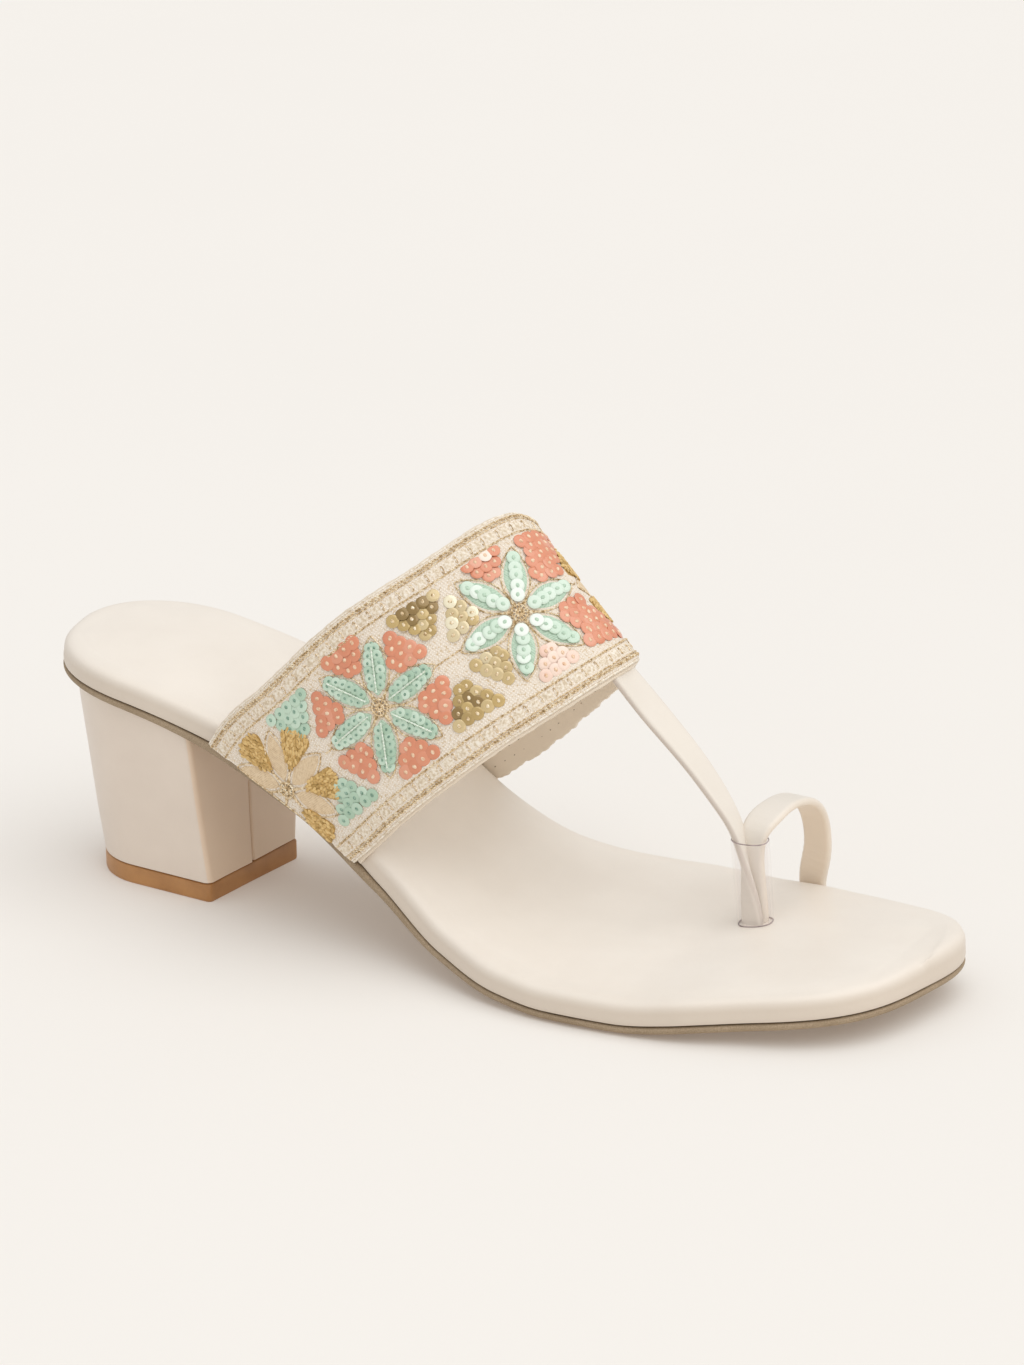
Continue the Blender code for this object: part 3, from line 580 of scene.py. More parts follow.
def satin(dye):
    """Laid thread: its tone runs in stripes over the piece, broken by fine fibres."""
    look = Look(dye.name, dye.middle, dye.roughness)
    fibres = look.range(look.noise(1400, 2), -0.45, 0.45)
    stripes = look.math("ADD", look.attribute("tone"), fibres)
    look.colour(look.ramp(stripes, ((0.15, dye.dark), (0.50, dye.middle), (0.85, dye.light))))
    look.relief(look.noise(5200, 2), 0.00010, 0.6)
    return look.material


def sequin_look(dye):
    """Thin glossy discs, each with its own tone."""
    look = Look(dye.name, dye.middle, dye.roughness, Metallic=dye.metallic, Coat_Weight=0.4,
                Coat_Roughness=0.10)
    tone = look.attribute("tone")
    look.colour(look.ramp(tone, ((0.0, dye.dark), (0.5, dye.middle), (1.0, dye.light))))
    look.relief(look.noise(700, 2), 0.00006, 0.25)
    return look.material


def make_cloth_look():
    """Plain weave of cream thread on a warmer ground, with gold flecks."""
    look = Look("band_cloth", (0.80, 0.70, 0.58), 0.78, Sheen_Weight=0.25)
    flat = look.place("UV")
    warp = look.ribs(430, "X", flat, 1.2)
    weft = look.ribs(430, "Y", flat, 1.2)
    weave = look.math("MULTIPLY", warp, weft)
    ground = look.ramp(weave, ((0.0, (0.80, 0.71, 0.595)), (0.55, (0.935, 0.865, 0.775))))
    flecks = look.ramp(look.noise(1500, 2, 0.6), ((0.34, (0.80, 0.70, 0.55)), (0.46, (1.0, 1.0, 1.0))))
    look.colour(look.mix(1.0, ground, flecks, "MULTIPLY"))
    look.relief(weave, 0.00018, 0.7)
    look.relief(look.noise(900, 3), 0.00012, 0.4)
    return look.material


def make_outsole_look():
    """Matt khaki sheet with a fine speckle."""
    look = Look("outsole_sheet", (0.42, 0.33, 0.24), 0.72)
    grain = look.noise(3600, 2, 0.7)
    speck = look.ramp(grain, ((0.36, (0.30, 0.222, 0.140)), (0.62, (0.45, 0.348, 0.238))))
    cloud = look.ramp(look.noise(90, 3), ((0.3, (0.85, 0.83, 0.80)), (0.7, (1.0, 1.0, 1.0))))
    look.colour(look.mix(1.0, speck, cloud, "MULTIPLY"))
    look.relief(look.noise(2600, 3, 0.7), 0.00012, 0.6)
    return look.material


def make_lift_look():
    """Satin tan wear piece, faintly marbled."""
    look = Look("lift_rubber", (0.40, 0.22, 0.11), 0.42, Coat_Weight=0.15, Coat_Roughness=0.4)
    marble = look.noise(120, 5, 0.6)
    look.colour(look.ramp(marble, ((0.3, (0.38, 0.175, 0.055)), (0.7, (0.50, 0.245, 0.085)))))
    look.relief(look.noise(1300, 3), 0.00006, 0.5)
    return look.material


def make_sleeve_look():
    """Clear soft plastic with a faint mauve cast."""
    look = Look("sleeve_clear", (0.86, 0.78, 0.78), 0.12, IOR=1.42, Alpha=0.07, Coat_Weight=0.5)
    look.colour(look.ramp(look.noise(90, 2), ((0.3, (0.83, 0.74, 0.74)), (0.7, (0.89, 0.81, 0.81)))))
    look.relief(look.noise(60, 2), 0.0003, 0.10)
    return look.material


def make_rim_look():
    """Cut edge of the clear plastic."""
    look = Look("sleeve_rim", (0.40, 0.32, 0.32), 0.3, Alpha=0.75)
    look.colour(look.ramp(look.noise(400, 2), ((0.35, (0.24, 0.18, 0.18)), (0.65, (0.52, 0.43, 0.43)))))
    return look.material


def make_floor_look():
    """Pale paper with a faint warm glow: painted fill light that lifts the shadows on it and warms them."""
    look = Look("floor_paper", (0.70, 0.705, 0.695), 0.9, Specular_IOR_Level=0.2)
    look.colour(look.ramp(look.noise(3, 3), ((0.3, (0.685, 0.69, 0.68)), (0.7, (0.695, 0.70, 0.69)))))
    # Painted fill light: the warm glow lifts and warms the floor's shadows
    look.shader.inputs["Emission Color"].default_value = (1.0, 0.81, 0.67, 1.0)
    look.shader.inputs["Emission Strength"].default_value = 0.17
    return look.material


INSOLE_TOP = Tone((0.828, 0.770, 0.700), (0.862, 0.807, 0.738))
# Painted shade: the insole's rim is darker than its top, as its side gets less light
INSOLE_RIM_SHADE = Tone((0.675, 0.592, 0.502), (0.705, 0.622, 0.532))
HEEL_SIDE = Tone((0.750, 0.655, 0.568), (0.790, 0.695, 0.605))
# Painted shade: the heel's breast is darker and warmer, as shade lit by warm bounce light
HEEL_BREAST_SHADE = Tone((0.780, 0.618, 0.474), (0.815, 0.653, 0.504))
STRAP_FACE = Tone((0.765, 0.710, 0.635), (0.795, 0.742, 0.675))
# Painted shade: the strap's rounded edges are darker, as their sides turn away from the light
STRAP_EDGE_SHADE = Tone((0.620, 0.550, 0.490), (0.660, 0.590, 0.530))
# Painted shade: the loop's inside is warmer, as shade lit by warm bounce light
LOOP_INSIDE_SHADE = Tone((0.815, 0.700, 0.570), (0.850, 0.735, 0.605))
LINING = Tone((0.790, 0.690, 0.565), (0.840, 0.745, 0.620))
THREADS = {
    "edging": Dye("edging_thread", (0.68, 0.575, 0.43), (0.86, 0.78, 0.66), (0.93, 0.88, 0.79), 0.62),
    "zari": Dye("zari_thread", (0.44, 0.30, 0.14), (0.81, 0.635, 0.40), (0.97, 0.89, 0.71), 0.38, 0.2),
    "pale_thread": Dye("pale_thread", (0.62, 0.51, 0.365), (0.78, 0.68, 0.54), (0.88, 0.82, 0.72), 0.60),
    "peach_thread": Dye("peach_thread", (0.70, 0.40, 0.25), (0.84, 0.60, 0.41), (0.90, 0.70, 0.52), 0.55),
    "mint_pale_thread": Dye("mint_pale_thread", (0.62, 0.74, 0.61), (0.76, 0.86, 0.75), (0.86, 0.92, 0.85),
                            0.5),
    "mint_dark_thread": Dye("mint_dark_thread", (0.14, 0.26, 0.19), (0.25, 0.40, 0.31), (0.38, 0.54, 0.44),
                            0.6),
    "stitch": Dye("lining_stitch", (0.26, 0.20, 0.14), (0.34, 0.27, 0.20), (0.44, 0.36, 0.28), 0.7),
}
SATINS = {
    "beige_thread": Dye("beige_thread", (0.60, 0.44, 0.26), (0.77, 0.60, 0.395), (0.87, 0.72, 0.52), 0.55),
    "mint_thread": Dye("mint_thread", (0.34, 0.48, 0.37), (0.50, 0.67, 0.53), (0.62, 0.79, 0.65), 0.55),
    "ochre_thread": Dye("ochre_thread", (0.37, 0.225, 0.055), (0.62, 0.40, 0.14), (0.79, 0.56, 0.24), 0.50),
}
DISCS = {
    "mint": Dye("mint_sequin", (0.36, 0.54, 0.40), (0.60, 0.76, 0.63), (0.90, 0.95, 0.91), 0.24),
    "coral": Dye("coral_sequin", (0.52, 0.17, 0.095), (0.73, 0.285, 0.165), (0.94, 0.80, 0.70), 0.32),
    "gold": Dye("gold_sequin", (0.19, 0.11, 0.03), (0.57, 0.41, 0.165), (0.92, 0.85, 0.64), 0.22, 0.15),
}
LOOKS = {
    "insole": faux_leather("insole_cover", INSOLE_TOP, 0.42, 0.12, INSOLE_RIM_SHADE),
    "heel": faux_leather("heel_wrap", HEEL_SIDE, 0.38, 0.18, HEEL_BREAST_SHADE),
    "strap": faux_leather("strap_leather", STRAP_FACE, 0.44, 0.10, STRAP_EDGE_SHADE),
    "loop": faux_leather("loop_leather", STRAP_FACE, 0.44, 0.10, LOOP_INSIDE_SHADE),
    "lining": faux_leather("band_lining", LINING, 0.55, 0.03),
    "cloth": make_cloth_look(),
    "outsole": make_outsole_look(),
    "lift": make_lift_look(),
    "sleeve": make_sleeve_look(),
    "rim": make_rim_look(),
}
for weave, dyes in ((thread, THREADS), (satin, SATINS), (sequin_look, DISCS)):
    LOOKS.update({key: weave(dye) for key, dye in dyes.items()})


# Sole


def seam_height(x):
    return level_curve(column(SECTIONS, "at"), column(SECTIONS, "seam"), np.clip(x, 0, LENGTH))


def seam_normal(x):
    """Upward unit normal of the sole's profile, as its X and Z parts."""
    slope = (seam_height(x + SLOPE_REACH) - seam_height(x - SLOPE_REACH)) / (2 * SLOPE_REACH)
    long = np.hypot(1, slope)
    return -slope / long, 1 / long


def sole_point(x, y, lift):
    """Point at a distance from the seam, square to the sole's profile."""
    normal_x, normal_z = seam_normal(x)
    return np.stack(np.broadcast_arrays(x + lift * normal_x, y, seam_height(x) + lift * normal_z), axis=-1)


def end_round(distance, length, power):
    """Share of the full width near a rounded end."""
    short = np.clip(1 - distance / length, 0, 1)
    return (1 - short ** power) ** (1 / power)


def half_width(x, side):
    width = level_curve(column(SECTIONS, "at"), column(SECTIONS, "medial" if side > 0 else "lateral"), x)
    return width * end_round(x, HEEL_ROUND, HEEL_POWER) * end_round(LENGTH - x, TOE_ROUND, TOE_POWER)


def side_path(side):
    """One side of the outline from the heel's back to the toe, with the toe's front set at a slant."""
    x = LENGTH * (1 - np.cos(np.linspace(0, math.pi, OUTLINE_STEPS))) / 2
    y = side * half_width(x, side)
    ease = np.clip((x - SKEW_START) / (SKEW_END - SKEW_START), 0, 1)
    return np.stack((x + TOE_SKEW * y * ease * ease * (3 - 2 * ease), y), axis=1)


LATERAL_PATH = side_path(-1)
MEDIAL_PATH = side_path(+1)[::-1]
OUTLINE = np.concatenate((LATERAL_PATH, MEDIAL_PATH[1:-1]))
OUTLINE_TANGENT = unit(np.roll(OUTLINE, -1, axis=0) - np.roll(OUTLINE, 1, axis=0))
OUTLINE_INWARD = np.stack((-OUTLINE_TANGENT[:, 1], OUTLINE_TANGENT[:, 0]), axis=1)
OUTLINE_PLACES = np.concatenate((
    spread(LATERAL_PATH, SIDE_STATIONS, CLOSER_ON_BENDS)[:-1],
    len(LATERAL_PATH) - 1 + spread(MEDIAL_PATH, SIDE_STATIONS, CLOSER_ON_BENDS)[:-1],
))


def plan_ring(inset):
    """Outline of the sole in plan, moved in from its edge."""
    closed = OUTLINE + inset * OUTLINE_INWARD
    return pick(np.concatenate((closed, closed[:1])), OUTLINE_PLACES)


def medial_edge(x):
    """Half-width on the big-toe side at a finished place along the sandal."""
    path = MEDIAL_PATH[::-1]
    return np.interp(x, path[:, 0], path[:, 1])


def rung_fill(plan, ring, first, columns, surface):
    """Points and faces that fill a ring across, from its lateral side to its medial one."""
    count = len(ring)
    share = np.arange(1, columns)[:, None] / columns
    points = []
    rows = []
    for i in range(1, count // 2):
        inner = plan[i] * (1 - share) + plan[count - i] * share
        start = first + len(points) * (columns - 1)
        points.append(surface(inner[:, 0], inner[:, 1]))
        rows.append([ring[i], *range(start, start + columns - 1), ring[count - i]])
    faces = [(row[j], row[j + 1], after[j + 1], after[j])
             for row, after in zip(rows, rows[1:]) for j in range(columns)]
    for j in range(columns):
        faces.append((ring[0], rows[0][j + 1], rows[0][j]))
        faces.append((ring[count // 2], rows[-1][j], rows[-1][j + 1]))
    return np.concatenate(points), faces


def sole_layer(edge, columns, relief):
    """Closed layer of the sole and each point's lift; relief raises points of its outer faces a little."""
    points = []
    faces = []
    lifts = []
    profile = smooth_rows(edge, EDGE_STEPS)
    plans = [plan_ring(inset) for inset, _ in profile]
    count = len(plans[0])
    for plan, (_, lift) in zip(plans, profile):
        points.append(sole_point(plan[:, 0], plan[:, 1], lift + relief(plan[:, 0], plan[:, 1], lift)))
        lifts.append(np.full(count, lift))
    faces.extend(map(tuple, grid_faces(len(profile), count, closed=True).tolist()))
    total = len(profile) * count
    for at in (0, len(profile) - 1):
        lift = profile[at][1]
        ring = list(range(at * count, at * count + count))
        filled, more = rung_fill(plans[at], ring, total, columns,
                                 lambda x, y: sole_point(x, y, lift + relief(x, y, lift)))
        if at == 0:
            more = [tuple(reversed(face)) for face in more]
        points.append(filled)
        faces.extend(more)
        lifts.append(np.full(len(filled), lift))
        total += len(filled)
    return np.concatenate(points), faces, np.concatenate(lifts)


def pad_relief(x, y, lift):
    """Padded footbed: higher to the big-toe side, a crown away from its rim and small creases at the ball."""
    side = np.where(y > 0, half_width(x, 1), half_width(x, -1))
    tilt = RIM_TILT * np.clip(lift, 0, None) * np.clip(y / np.maximum(side, 0.001), -1, 1)
    top = np.clip(lift / PAD_THICK, 0, 1) ** 2
    from_rim = np.minimum(side - np.abs(y), np.minimum(x, LENGTH - x)) - INSOLE_EDGE[-1].inset
    crown = CROWN * (1 - np.exp(-np.clip(from_rim, 0, None) / CROWN_REACH))
    edge_near = bump(np.abs(y + half_width(x, -1)), CREASE_REACH) * bump(x - CREASE_AT, CREASE_SPAN)
    creases = CREASE_RISE * np.sin(x * CREASE_RATE_X + CREASE_RATE_Y * y) * edge_near
    wave = PAD_WAVE_RISE * np.sin(38 * x + 1.1) * np.sin(61 * y + 2 * x)
    return tilt + top * (crown + creases + wave)


def sheet_relief(x, y, lift):
    """Outsole: its lower edge is left nearly square below the band, where the band's ends go in above it."""
    bevel = np.clip(OUTSOLE_THICK + lift, 0, None) if lift < SQUARE_BELOW else 0.0
    return -SQUARE_SHARE * bevel * bump(x - SQUARE_MIDDLE, SQUARE_SPAN)


def make_sole():
    points, faces, lifts = sole_layer(INSOLE_EDGE, INSOLE_COLUMNS, pad_relief)
    # Painted shade: points low on the rim take the darker rim colour
    tone = np.clip((lifts - RIM_SHADE_TOP) / RIM_SHADE_FADE, 0, 1)
    insole = add_piece("insole_pad", points, faces, "insole", "insole", tone=tone)
    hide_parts("insole")
    points, faces, _ = sole_layer(OUTSOLE_EDGE, OUTSOLE_COLUMNS, sheet_relief)
    near_edge = np.clip(1 - (half_width(points[:, 0], -1) + points[:, 1]) / FLARE_REACH, 0, 1)
    points[:, 1] -= FLARE * near_edge * bump(points[:, 0] - SQUARE_MIDDLE, FLARE_SPAN)
    faces = [tuple(reversed(face)) for face in faces]
    outsole = add_piece("outsole_sheet", points, faces, "outsole", "outsole")
    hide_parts("outsole")


# Heel


def heel_plan(down, rounding, seam):
    """D-shaped outline at a share of the way down; seam is 1 to show the joint in the wrap, 0 without it."""
    at = column(HEEL_LEVELS, "down")
    back, breast, lateral, medial = [level_curve(at, column(HEEL_LEVELS, name), down)
                                     for name in ("back", "breast", "lateral", "medial")]
    middle = (medial - lateral) / 2
    wide = (medial + lateral) / 2
    angle = np.linspace(0, math.pi / 2, HEEL_BACK_STEPS + 1)
    back_x = back + wide * (1 - np.cos(angle))
    corner_start = breast - rounding
    side_x = np.linspace(back_x[-1], corner_start, HEEL_SIDE_STEPS + 1)[1:]
    corner = np.linspace(0, math.pi / 2, HEEL_CORNER_STEPS + 1)[1:]
    x = np.concatenate((back_x, side_x, corner_start + rounding * np.sin(corner)))
    width = np.concatenate((wide * np.sin(angle), np.full(HEEL_SIDE_STEPS, wide),
                            wide - rounding * (1 - np.cos(corner))))
    flat = np.linspace(0, 1, HEEL_BREAST_STEPS + 1)[1:-1]
    flat_y = width[-1] * (2 * flat - 1)
    from_seam = (flat - WRAP_SEAM_AT) * 2 * width[-1]
    overlap = WRAP_STEP * (flat / WRAP_SEAM_AT) ** 2 * (from_seam < 0)
    flat_x = breast + seam * (overlap - WRAP_SEAM_DEEP * bump(from_seam, WRAP_SEAM_HALF))
    lateral_side = np.stack((x, middle - width), axis=1)
    front = np.stack((flat_x, middle + flat_y), axis=1)
    medial_side = np.stack((x, middle + width), axis=1)[:0:-1]
    ring = np.concatenate((lateral_side, front, medial_side)) - (HEEL_PIVOT, 0)
    cos = math.cos(HEEL_TURN)
    sin = math.sin(HEEL_TURN)
    return ring @ np.array(((cos, sin), (-sin, cos))) + (HEEL_PIVOT, 0)


def heel_ceiling(x):
    """Height of the heel's top face under the outsole."""
    return seam_height(x) - (OUTSOLE_THICK + GAP) / seam_normal(x)[1]


def lift_top(y):
    """Height of the top lift, a little taller on the big-toe side."""
    return LIFT_MIDDLE + LIFT_SLOPE * y


def make_heel():
    rings = []
    for down in np.linspace(0, 1, HEEL_ROWS):
        plan = heel_plan(down, HEEL_CORNER, 1.0)
        floor = lift_top(plan[:, 1]) + GAP
        z = heel_ceiling(plan[:, 0]) * (1 - down) + floor * down
        rings.append(np.column_stack((plan, z)))
    rings = np.array(rings)[::-1]
    # Painted shade: the front corners and the breast take the darker breast colour at tone 0
    tone = np.ones(rings.shape[:2])
    corner = HEEL_BACK_STEPS + HEEL_SIDE_STEPS + HEEL_CORNER_STEPS // 2
    tone[:, corner:corner + HEEL_CORNER_STEPS + HEEL_BREAST_STEPS] = 0.0
    heel = add_tube("heel_wrap", rings, "heel", "heel_block", tone=tone.ravel())
    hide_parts("heel_block")


def make_lift():
    plan = heel_plan(1.0, LIFT_CORNER, 0.0)
    inward = unit(plan.mean(axis=0) - plan)
    top = lift_top(plan[:, 1])
    rings = []
    for row in LIFT_RINGS:
        rings.append(np.column_stack((plan + inward * row.inset, top * row.share)))
    rings = np.array(rings)
    lift = add_tube("heel_lift", rings, "lift", "heel_top_lift", sharp=LIFT_SHARP)
    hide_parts("heel_top_lift")


# Instep band


def seat_row(side):
    """Row of the band's table where its outermost face meets the side of the sole."""
    x = np.array((SEAT_BACK, SEAT_FRONT))
    back, front = sole_point(x, side * (half_width(x, side) + SEAT_OUT), 0.0)
    return BandRow(*back, *front)


BAND_TABLE = np.array((seat_row(-1),) + BAND_ROWS + (seat_row(+1),))
BAND_KNOTS = chord_knots((BAND_TABLE[:, :3] + BAND_TABLE[:, 3:]) / 2)


def band_flat(around, across):
    """Straight-ruled form of the band's outermost face, from the lateral seat around to the medial one."""
    edges = spline(BAND_KNOTS, BAND_TABLE, around * BAND_KNOTS[-1])
    back = edges[:, :3]
    front = edges[:, 3:]
    points = back + (front - back) * across[:, None]
    for side, from_seat in ((-1, around), (1, 1 - around)):
        hug = np.clip(1 - from_seat / HUG_SHARE, 0, 1) ** 2
        seat_x = SEAT_BACK + (SEAT_FRONT - SEAT_BACK) * across
        chord = half_width(SEAT_BACK, side) * (1 - across) + half_width(SEAT_FRONT, side) * across
        points[:, 1] += side * hug * (half_width(seat_x, side) - chord)
    return points


def band_outward(around, across):
    """Unit normal of the band's outermost face."""
    before = np.clip(around - BAND_REACH, 0, 1 - BAND_REACH)
    after = np.clip(around + BAND_REACH, BAND_REACH, 1)
    along = band_flat(after, across) - band_flat(before, across)
    over = band_flat(around, across + BAND_REACH) - band_flat(around, across - BAND_REACH)
    return unit(np.cross(over, along))


def band_point(around, across, depth):
    """Point at a depth below the band's outermost face."""
    around, across, depth = [np.array(a, dtype=float) for a in np.broadcast_arrays(around, across, depth)]
    shape = around.shape
    around, across, depth = around.ravel(), across.ravel(), depth.ravel()
    points = band_flat(around, across) - band_outward(around, across) * depth[:, None]
    return points.reshape(shape + (3,))


# The band laid out flat, so that the embroidery keeps its true form


def apex(start, end, from_start, from_end):
    """Point of the plane at two distances from the ends of a segment, on its left."""
    step = end - start
    length = np.hypot(*step)
    along = (from_start ** 2 - from_end ** 2 + length ** 2) / (2 * length)
    up = math.sqrt(max(from_start ** 2 - along ** 2, 0.0))
    return start + (along * step + up * np.array((-step[1], step[0]))) / length


def unroll():
    """Ends of the band's rulings in the flat layout, back edge and front edge."""
    around = np.linspace(0, 1, RULINGS)
    back = band_point(around, 0.0, 0.0)
    front = band_point(around, 1.0, 0.0)
    width = np.linalg.norm(front - back, axis=1)
    flat_back = [np.zeros(2)]
    flat_front = [np.array((0.0, -width[0]))]
    for i in range(1, RULINGS):
        near = np.linalg.norm(back[i] - back[i - 1])
        cross = np.linalg.norm(back[i] - front[i - 1])
        flat_back.append(apex(flat_back[-1], flat_front[-1], near, cross))
        near = np.linalg.norm(front[i] - front[i - 1])
        flat_front.append(apex(flat_back[-1], flat_front[-1], width[i], near))
    return np.array(flat_back), np.array(flat_front)


FLAT_BACK, FLAT_FRONT = unroll()


def lay_flat(around, across):
    """Place in the flat layout of a place on the band."""
    at = np.asarray(around) * (RULINGS - 1)
    back = pick(FLAT_BACK, at)
    front = pick(FLAT_FRONT, at)
    return back + (front - back) * np.asarray(across)[:, None]


def to_band(flat):
    """Places around and across the band of points of the flat layout; off its ends around leaves 0 to 1."""
    ruling = FLAT_FRONT - FLAT_BACK
    offset = flat[:, None] - FLAT_BACK
    ahead = ruling[:, 0] * offset[..., 1] - ruling[:, 1] * offset[..., 0]
    i = np.clip((ahead > 0).sum(axis=1) - 1, 0, RULINGS - 2)
    row = np.arange(len(flat))
    share = ahead[row, i] / (ahead[row, i] - ahead[row, i + 1])
    back = FLAT_BACK[i] + (FLAT_BACK[i + 1] - FLAT_BACK[i]) * share[:, None]
    ruling = FLAT_FRONT[i] + (FLAT_FRONT[i + 1] - FLAT_FRONT[i]) * share[:, None] - back
    across = ((flat - back) * ruling).sum(axis=1) / (ruling ** 2).sum(axis=1)
    return (i + share) / (RULINGS - 1), across


def ground_depth(across):
    """Depth of the cloth's face: the borders stand proud of the middle."""
    from_border = np.abs(np.asarray(across) - 0.5) - (0.5 - BORDER_SHARE)
    return BORDER_STEP * np.clip(0.5 - from_border / BORDER_FADE, 0, 1)


Spot = namedtuple("Spot", "points along over outward")


def on_band(flat, height):
    """Points at a height above the cloth, with directions along and over the flat layout and outward."""
    reach = (DIRECTION_REACH, 0)
    around, across = to_band(flat)
    clipped = np.clip(around, CLOTH_START, 1)
    points = band_point(clipped, across, ground_depth(across) - height)
    outward = band_outward(clipped, across)
    ahead = band_point(*to_band(flat + reach), 0.0) - band_point(*to_band(flat - reach), 0.0)
    along = square_to(ahead, outward)
    return Spot(points, along, np.cross(outward, along), outward)


def make_band_cloth():
    """Embroidered panel: closed cloth with raised borders, over the backing."""
    middle = np.linspace(CLOTH_INSET, 1 - CLOTH_INSET, BAND_COLUMNS)
    across = np.concatenate((CLOTH_RISE, middle, 1 - CLOTH_RISE[::-1]))
    depth = ground_depth(across)
    depth[:3] += (PANEL_THICK - CLOTH_BEND, CLOTH_BEND, 0.0)
    depth[-3:] += (0.0, CLOTH_BEND, PANEL_THICK - CLOTH_BEND)
    under = np.linspace(1 - CLOTH_INSET, CLOTH_INSET, BAND_COLUMNS // 2)
    across = np.concatenate((across, under))
    depth = np.concatenate((depth, np.full(len(under), PANEL_THICK)))
    around = np.linspace(CLOTH_START, 1, BAND_STATIONS + 1)
    points = band_point(around[:, None], across[None, :], depth[None, :])
    uv = lay_flat(np.repeat(around, len(across)), np.tile(across, len(around)))
    faces = tube_faces(len(around), len(across))
    panel = add_piece("band_cloth", points, faces, "cloth", "band_panel", uv=uv)
    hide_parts("band_panel")
    return panel


def make_lining():
    """Backing of the band, with softly uneven edges, down to the seam of the sole on both sides."""
    around = np.linspace(TUCK_START, 1 - TUCK_START, BAND_STATIONS + 1)
    across = np.concatenate(([-MARGIN], np.linspace(0.0, 1.0, LINING_COLUMNS), [1 + MARGIN]))
    edge = np.array((0.15, 0.5, 0.85))
    front = np.full(len(edge), 1 + MARGIN + LINING_LIP)
    back = np.full(len(edge), -MARGIN - LINING_LIP)
    profile = np.concatenate((across, front, across[::-1], back))
    share = np.concatenate((np.zeros(len(across)), edge, np.ones(len(across)), edge[::-1]))
    depth = WALL_DEPTH + WALL * share
    frayed = sum(row.high * np.sin(row.rate * around + row.start) for row in FRAYS)
    uneven = frayed * (FRAY_LATERAL + (1 - FRAY_LATERAL) * np.clip(4 * around - 2, 0, 1))
    outer = np.abs(profile - 0.5) > 0.5
    places = profile[None, :] + outer[None, :] * np.sign(profile - 0.5)[None, :] * uneven[:, None]
    body = band_point(around[:, None], places, depth[None, :])
    rings = [tuck_ring(-1, body[0], depth), body, tuck_ring(1, body[-1], depth)]
    rings = np.concatenate([ring if ring.ndim == 3 else ring[None] for ring in rings])
    lining = add_tube("band_lining", rings, "lining", "upper")
    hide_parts("upper")


def tuck_ring(side, ring, depth):
    """Section of the lining's end where it goes in between insole and outsole."""
    share = (depth - WALL_DEPTH) / WALL
    x = ring[:, 0] - TUCK_BACK * seam_normal(ring[:, 0])[0]
    out = half_width(x, side) + TUCK_OUT - TUCK_NARROWS * share
    return sole_point(x, side * out, TUCK_LIFT + TUCK_RISES * share)


# Straps


def strap_section(width, thick):
    """Flat strap with rounded edges, as places across it and above its middle."""
    radius = thick / 2
    flat = np.linspace(-1, 1, STRAP_FLAT_STEPS + 1)[1:-1] * (width / 2 - radius)
    angle = np.linspace(-math.pi / 2, math.pi / 2, STRAP_ROUND_STEPS + 1)
    round_side = width / 2 - radius + radius * np.cos(angle)
    round_rise = radius * np.sin(angle)
    level = np.full(len(flat), radius)
    side = np.concatenate((round_side, flat[::-1], -round_side, flat))
    rise = np.concatenate((round_rise, level, -round_rise, -level))
    return side, rise


def sweep_strap(rows, stations, creases):
    """Rings of a strap along a smooth path; creases gives a small rise for each station and place across."""
    table = np.array(rows, dtype=float)
    knots = chord_knots(table[:, :3])
    fine = spline(knots, table, np.linspace(0, knots[-1], STRAP_STEPS))
    places = spread(fine[:, :3], stations, STRAP_CLOSER)
    path = pick(fine, places)
    heading = unit(pick(np.gradient(fine[:, :3], axis=0), places))
    run = chord_knots(path[:, :3])
    turn = np.radians(path[:, 3])
    tilt = np.radians(path[:, 5])
    level = np.cos(tilt)
    wide = np.stack((np.sin(turn) * level, np.cos(turn) * level, np.sin(tilt)), axis=1)
    wide = square_to(wide, heading)
    normal = np.cross(heading, wide)
    rings = []
    for i in range(len(path)):
        side, rise = strap_section(path[i, 4], path[i, 6])
        rise = rise + creases(run[i], run[-1], side)
        rings.append(path[i, :3] + side[:, None] * wide[i] + rise[:, None] * normal[i])
    return np.array(rings)


def strap_creases(run, length, side):
    """Faint long pleats where the strap narrows into the sleeve."""
    near = bump(run / length - PLEAT_AT, PLEAT_SPAN)
    return PLEAT_RISE * near * np.cos(side / PLEAT_WIDE * math.pi)


def loop_creases(run, length, side):
    """Small cross folds at the loop's foot and inside its top bend."""
    foot = bump(run / length - LOOP_FOOT_FOLD_AT, LOOP_FOOT_FOLD_SPAN)
    top = bump(run / length - LOOP_TOP_FOLD_AT, LOOP_TOP_FOLD_SPAN)
    foot_folds = LOOP_FOOT_FOLD_RISE * foot * np.sin(run * 2600 + side * 320)
    return foot_folds + LOOP_TOP_FOLD_RISE * top * np.sin(run * 3300)


def painted_strap_edges(stations):
    """Tone of a strap's points: 0 along its edges, which take painted shade, 1 on its faces."""
    turn = np.linspace(-math.pi / 2, math.pi / 2, STRAP_ROUND_STEPS + 1)
    edge = np.clip((np.abs(turn) - EDGE_TURN) / EDGE_TURN, 0, 1)
    face = np.ones(STRAP_FLAT_STEPS - 1)
    return np.tile(np.concatenate((edge, face, edge, face)), stations)


def painted_loop_inside(stations):
    """Tone of the loop's points: 0 on its inside, which takes painted warm shade, 1 on its outside."""
    turn = np.linspace(1, 0, STRAP_ROUND_STEPS + 1)
    inside = np.zeros(STRAP_FLAT_STEPS - 1)
    outside = np.ones(STRAP_FLAT_STEPS - 1)
    return np.tile(np.concatenate((turn, inside, turn[::-1], outside)), stations)


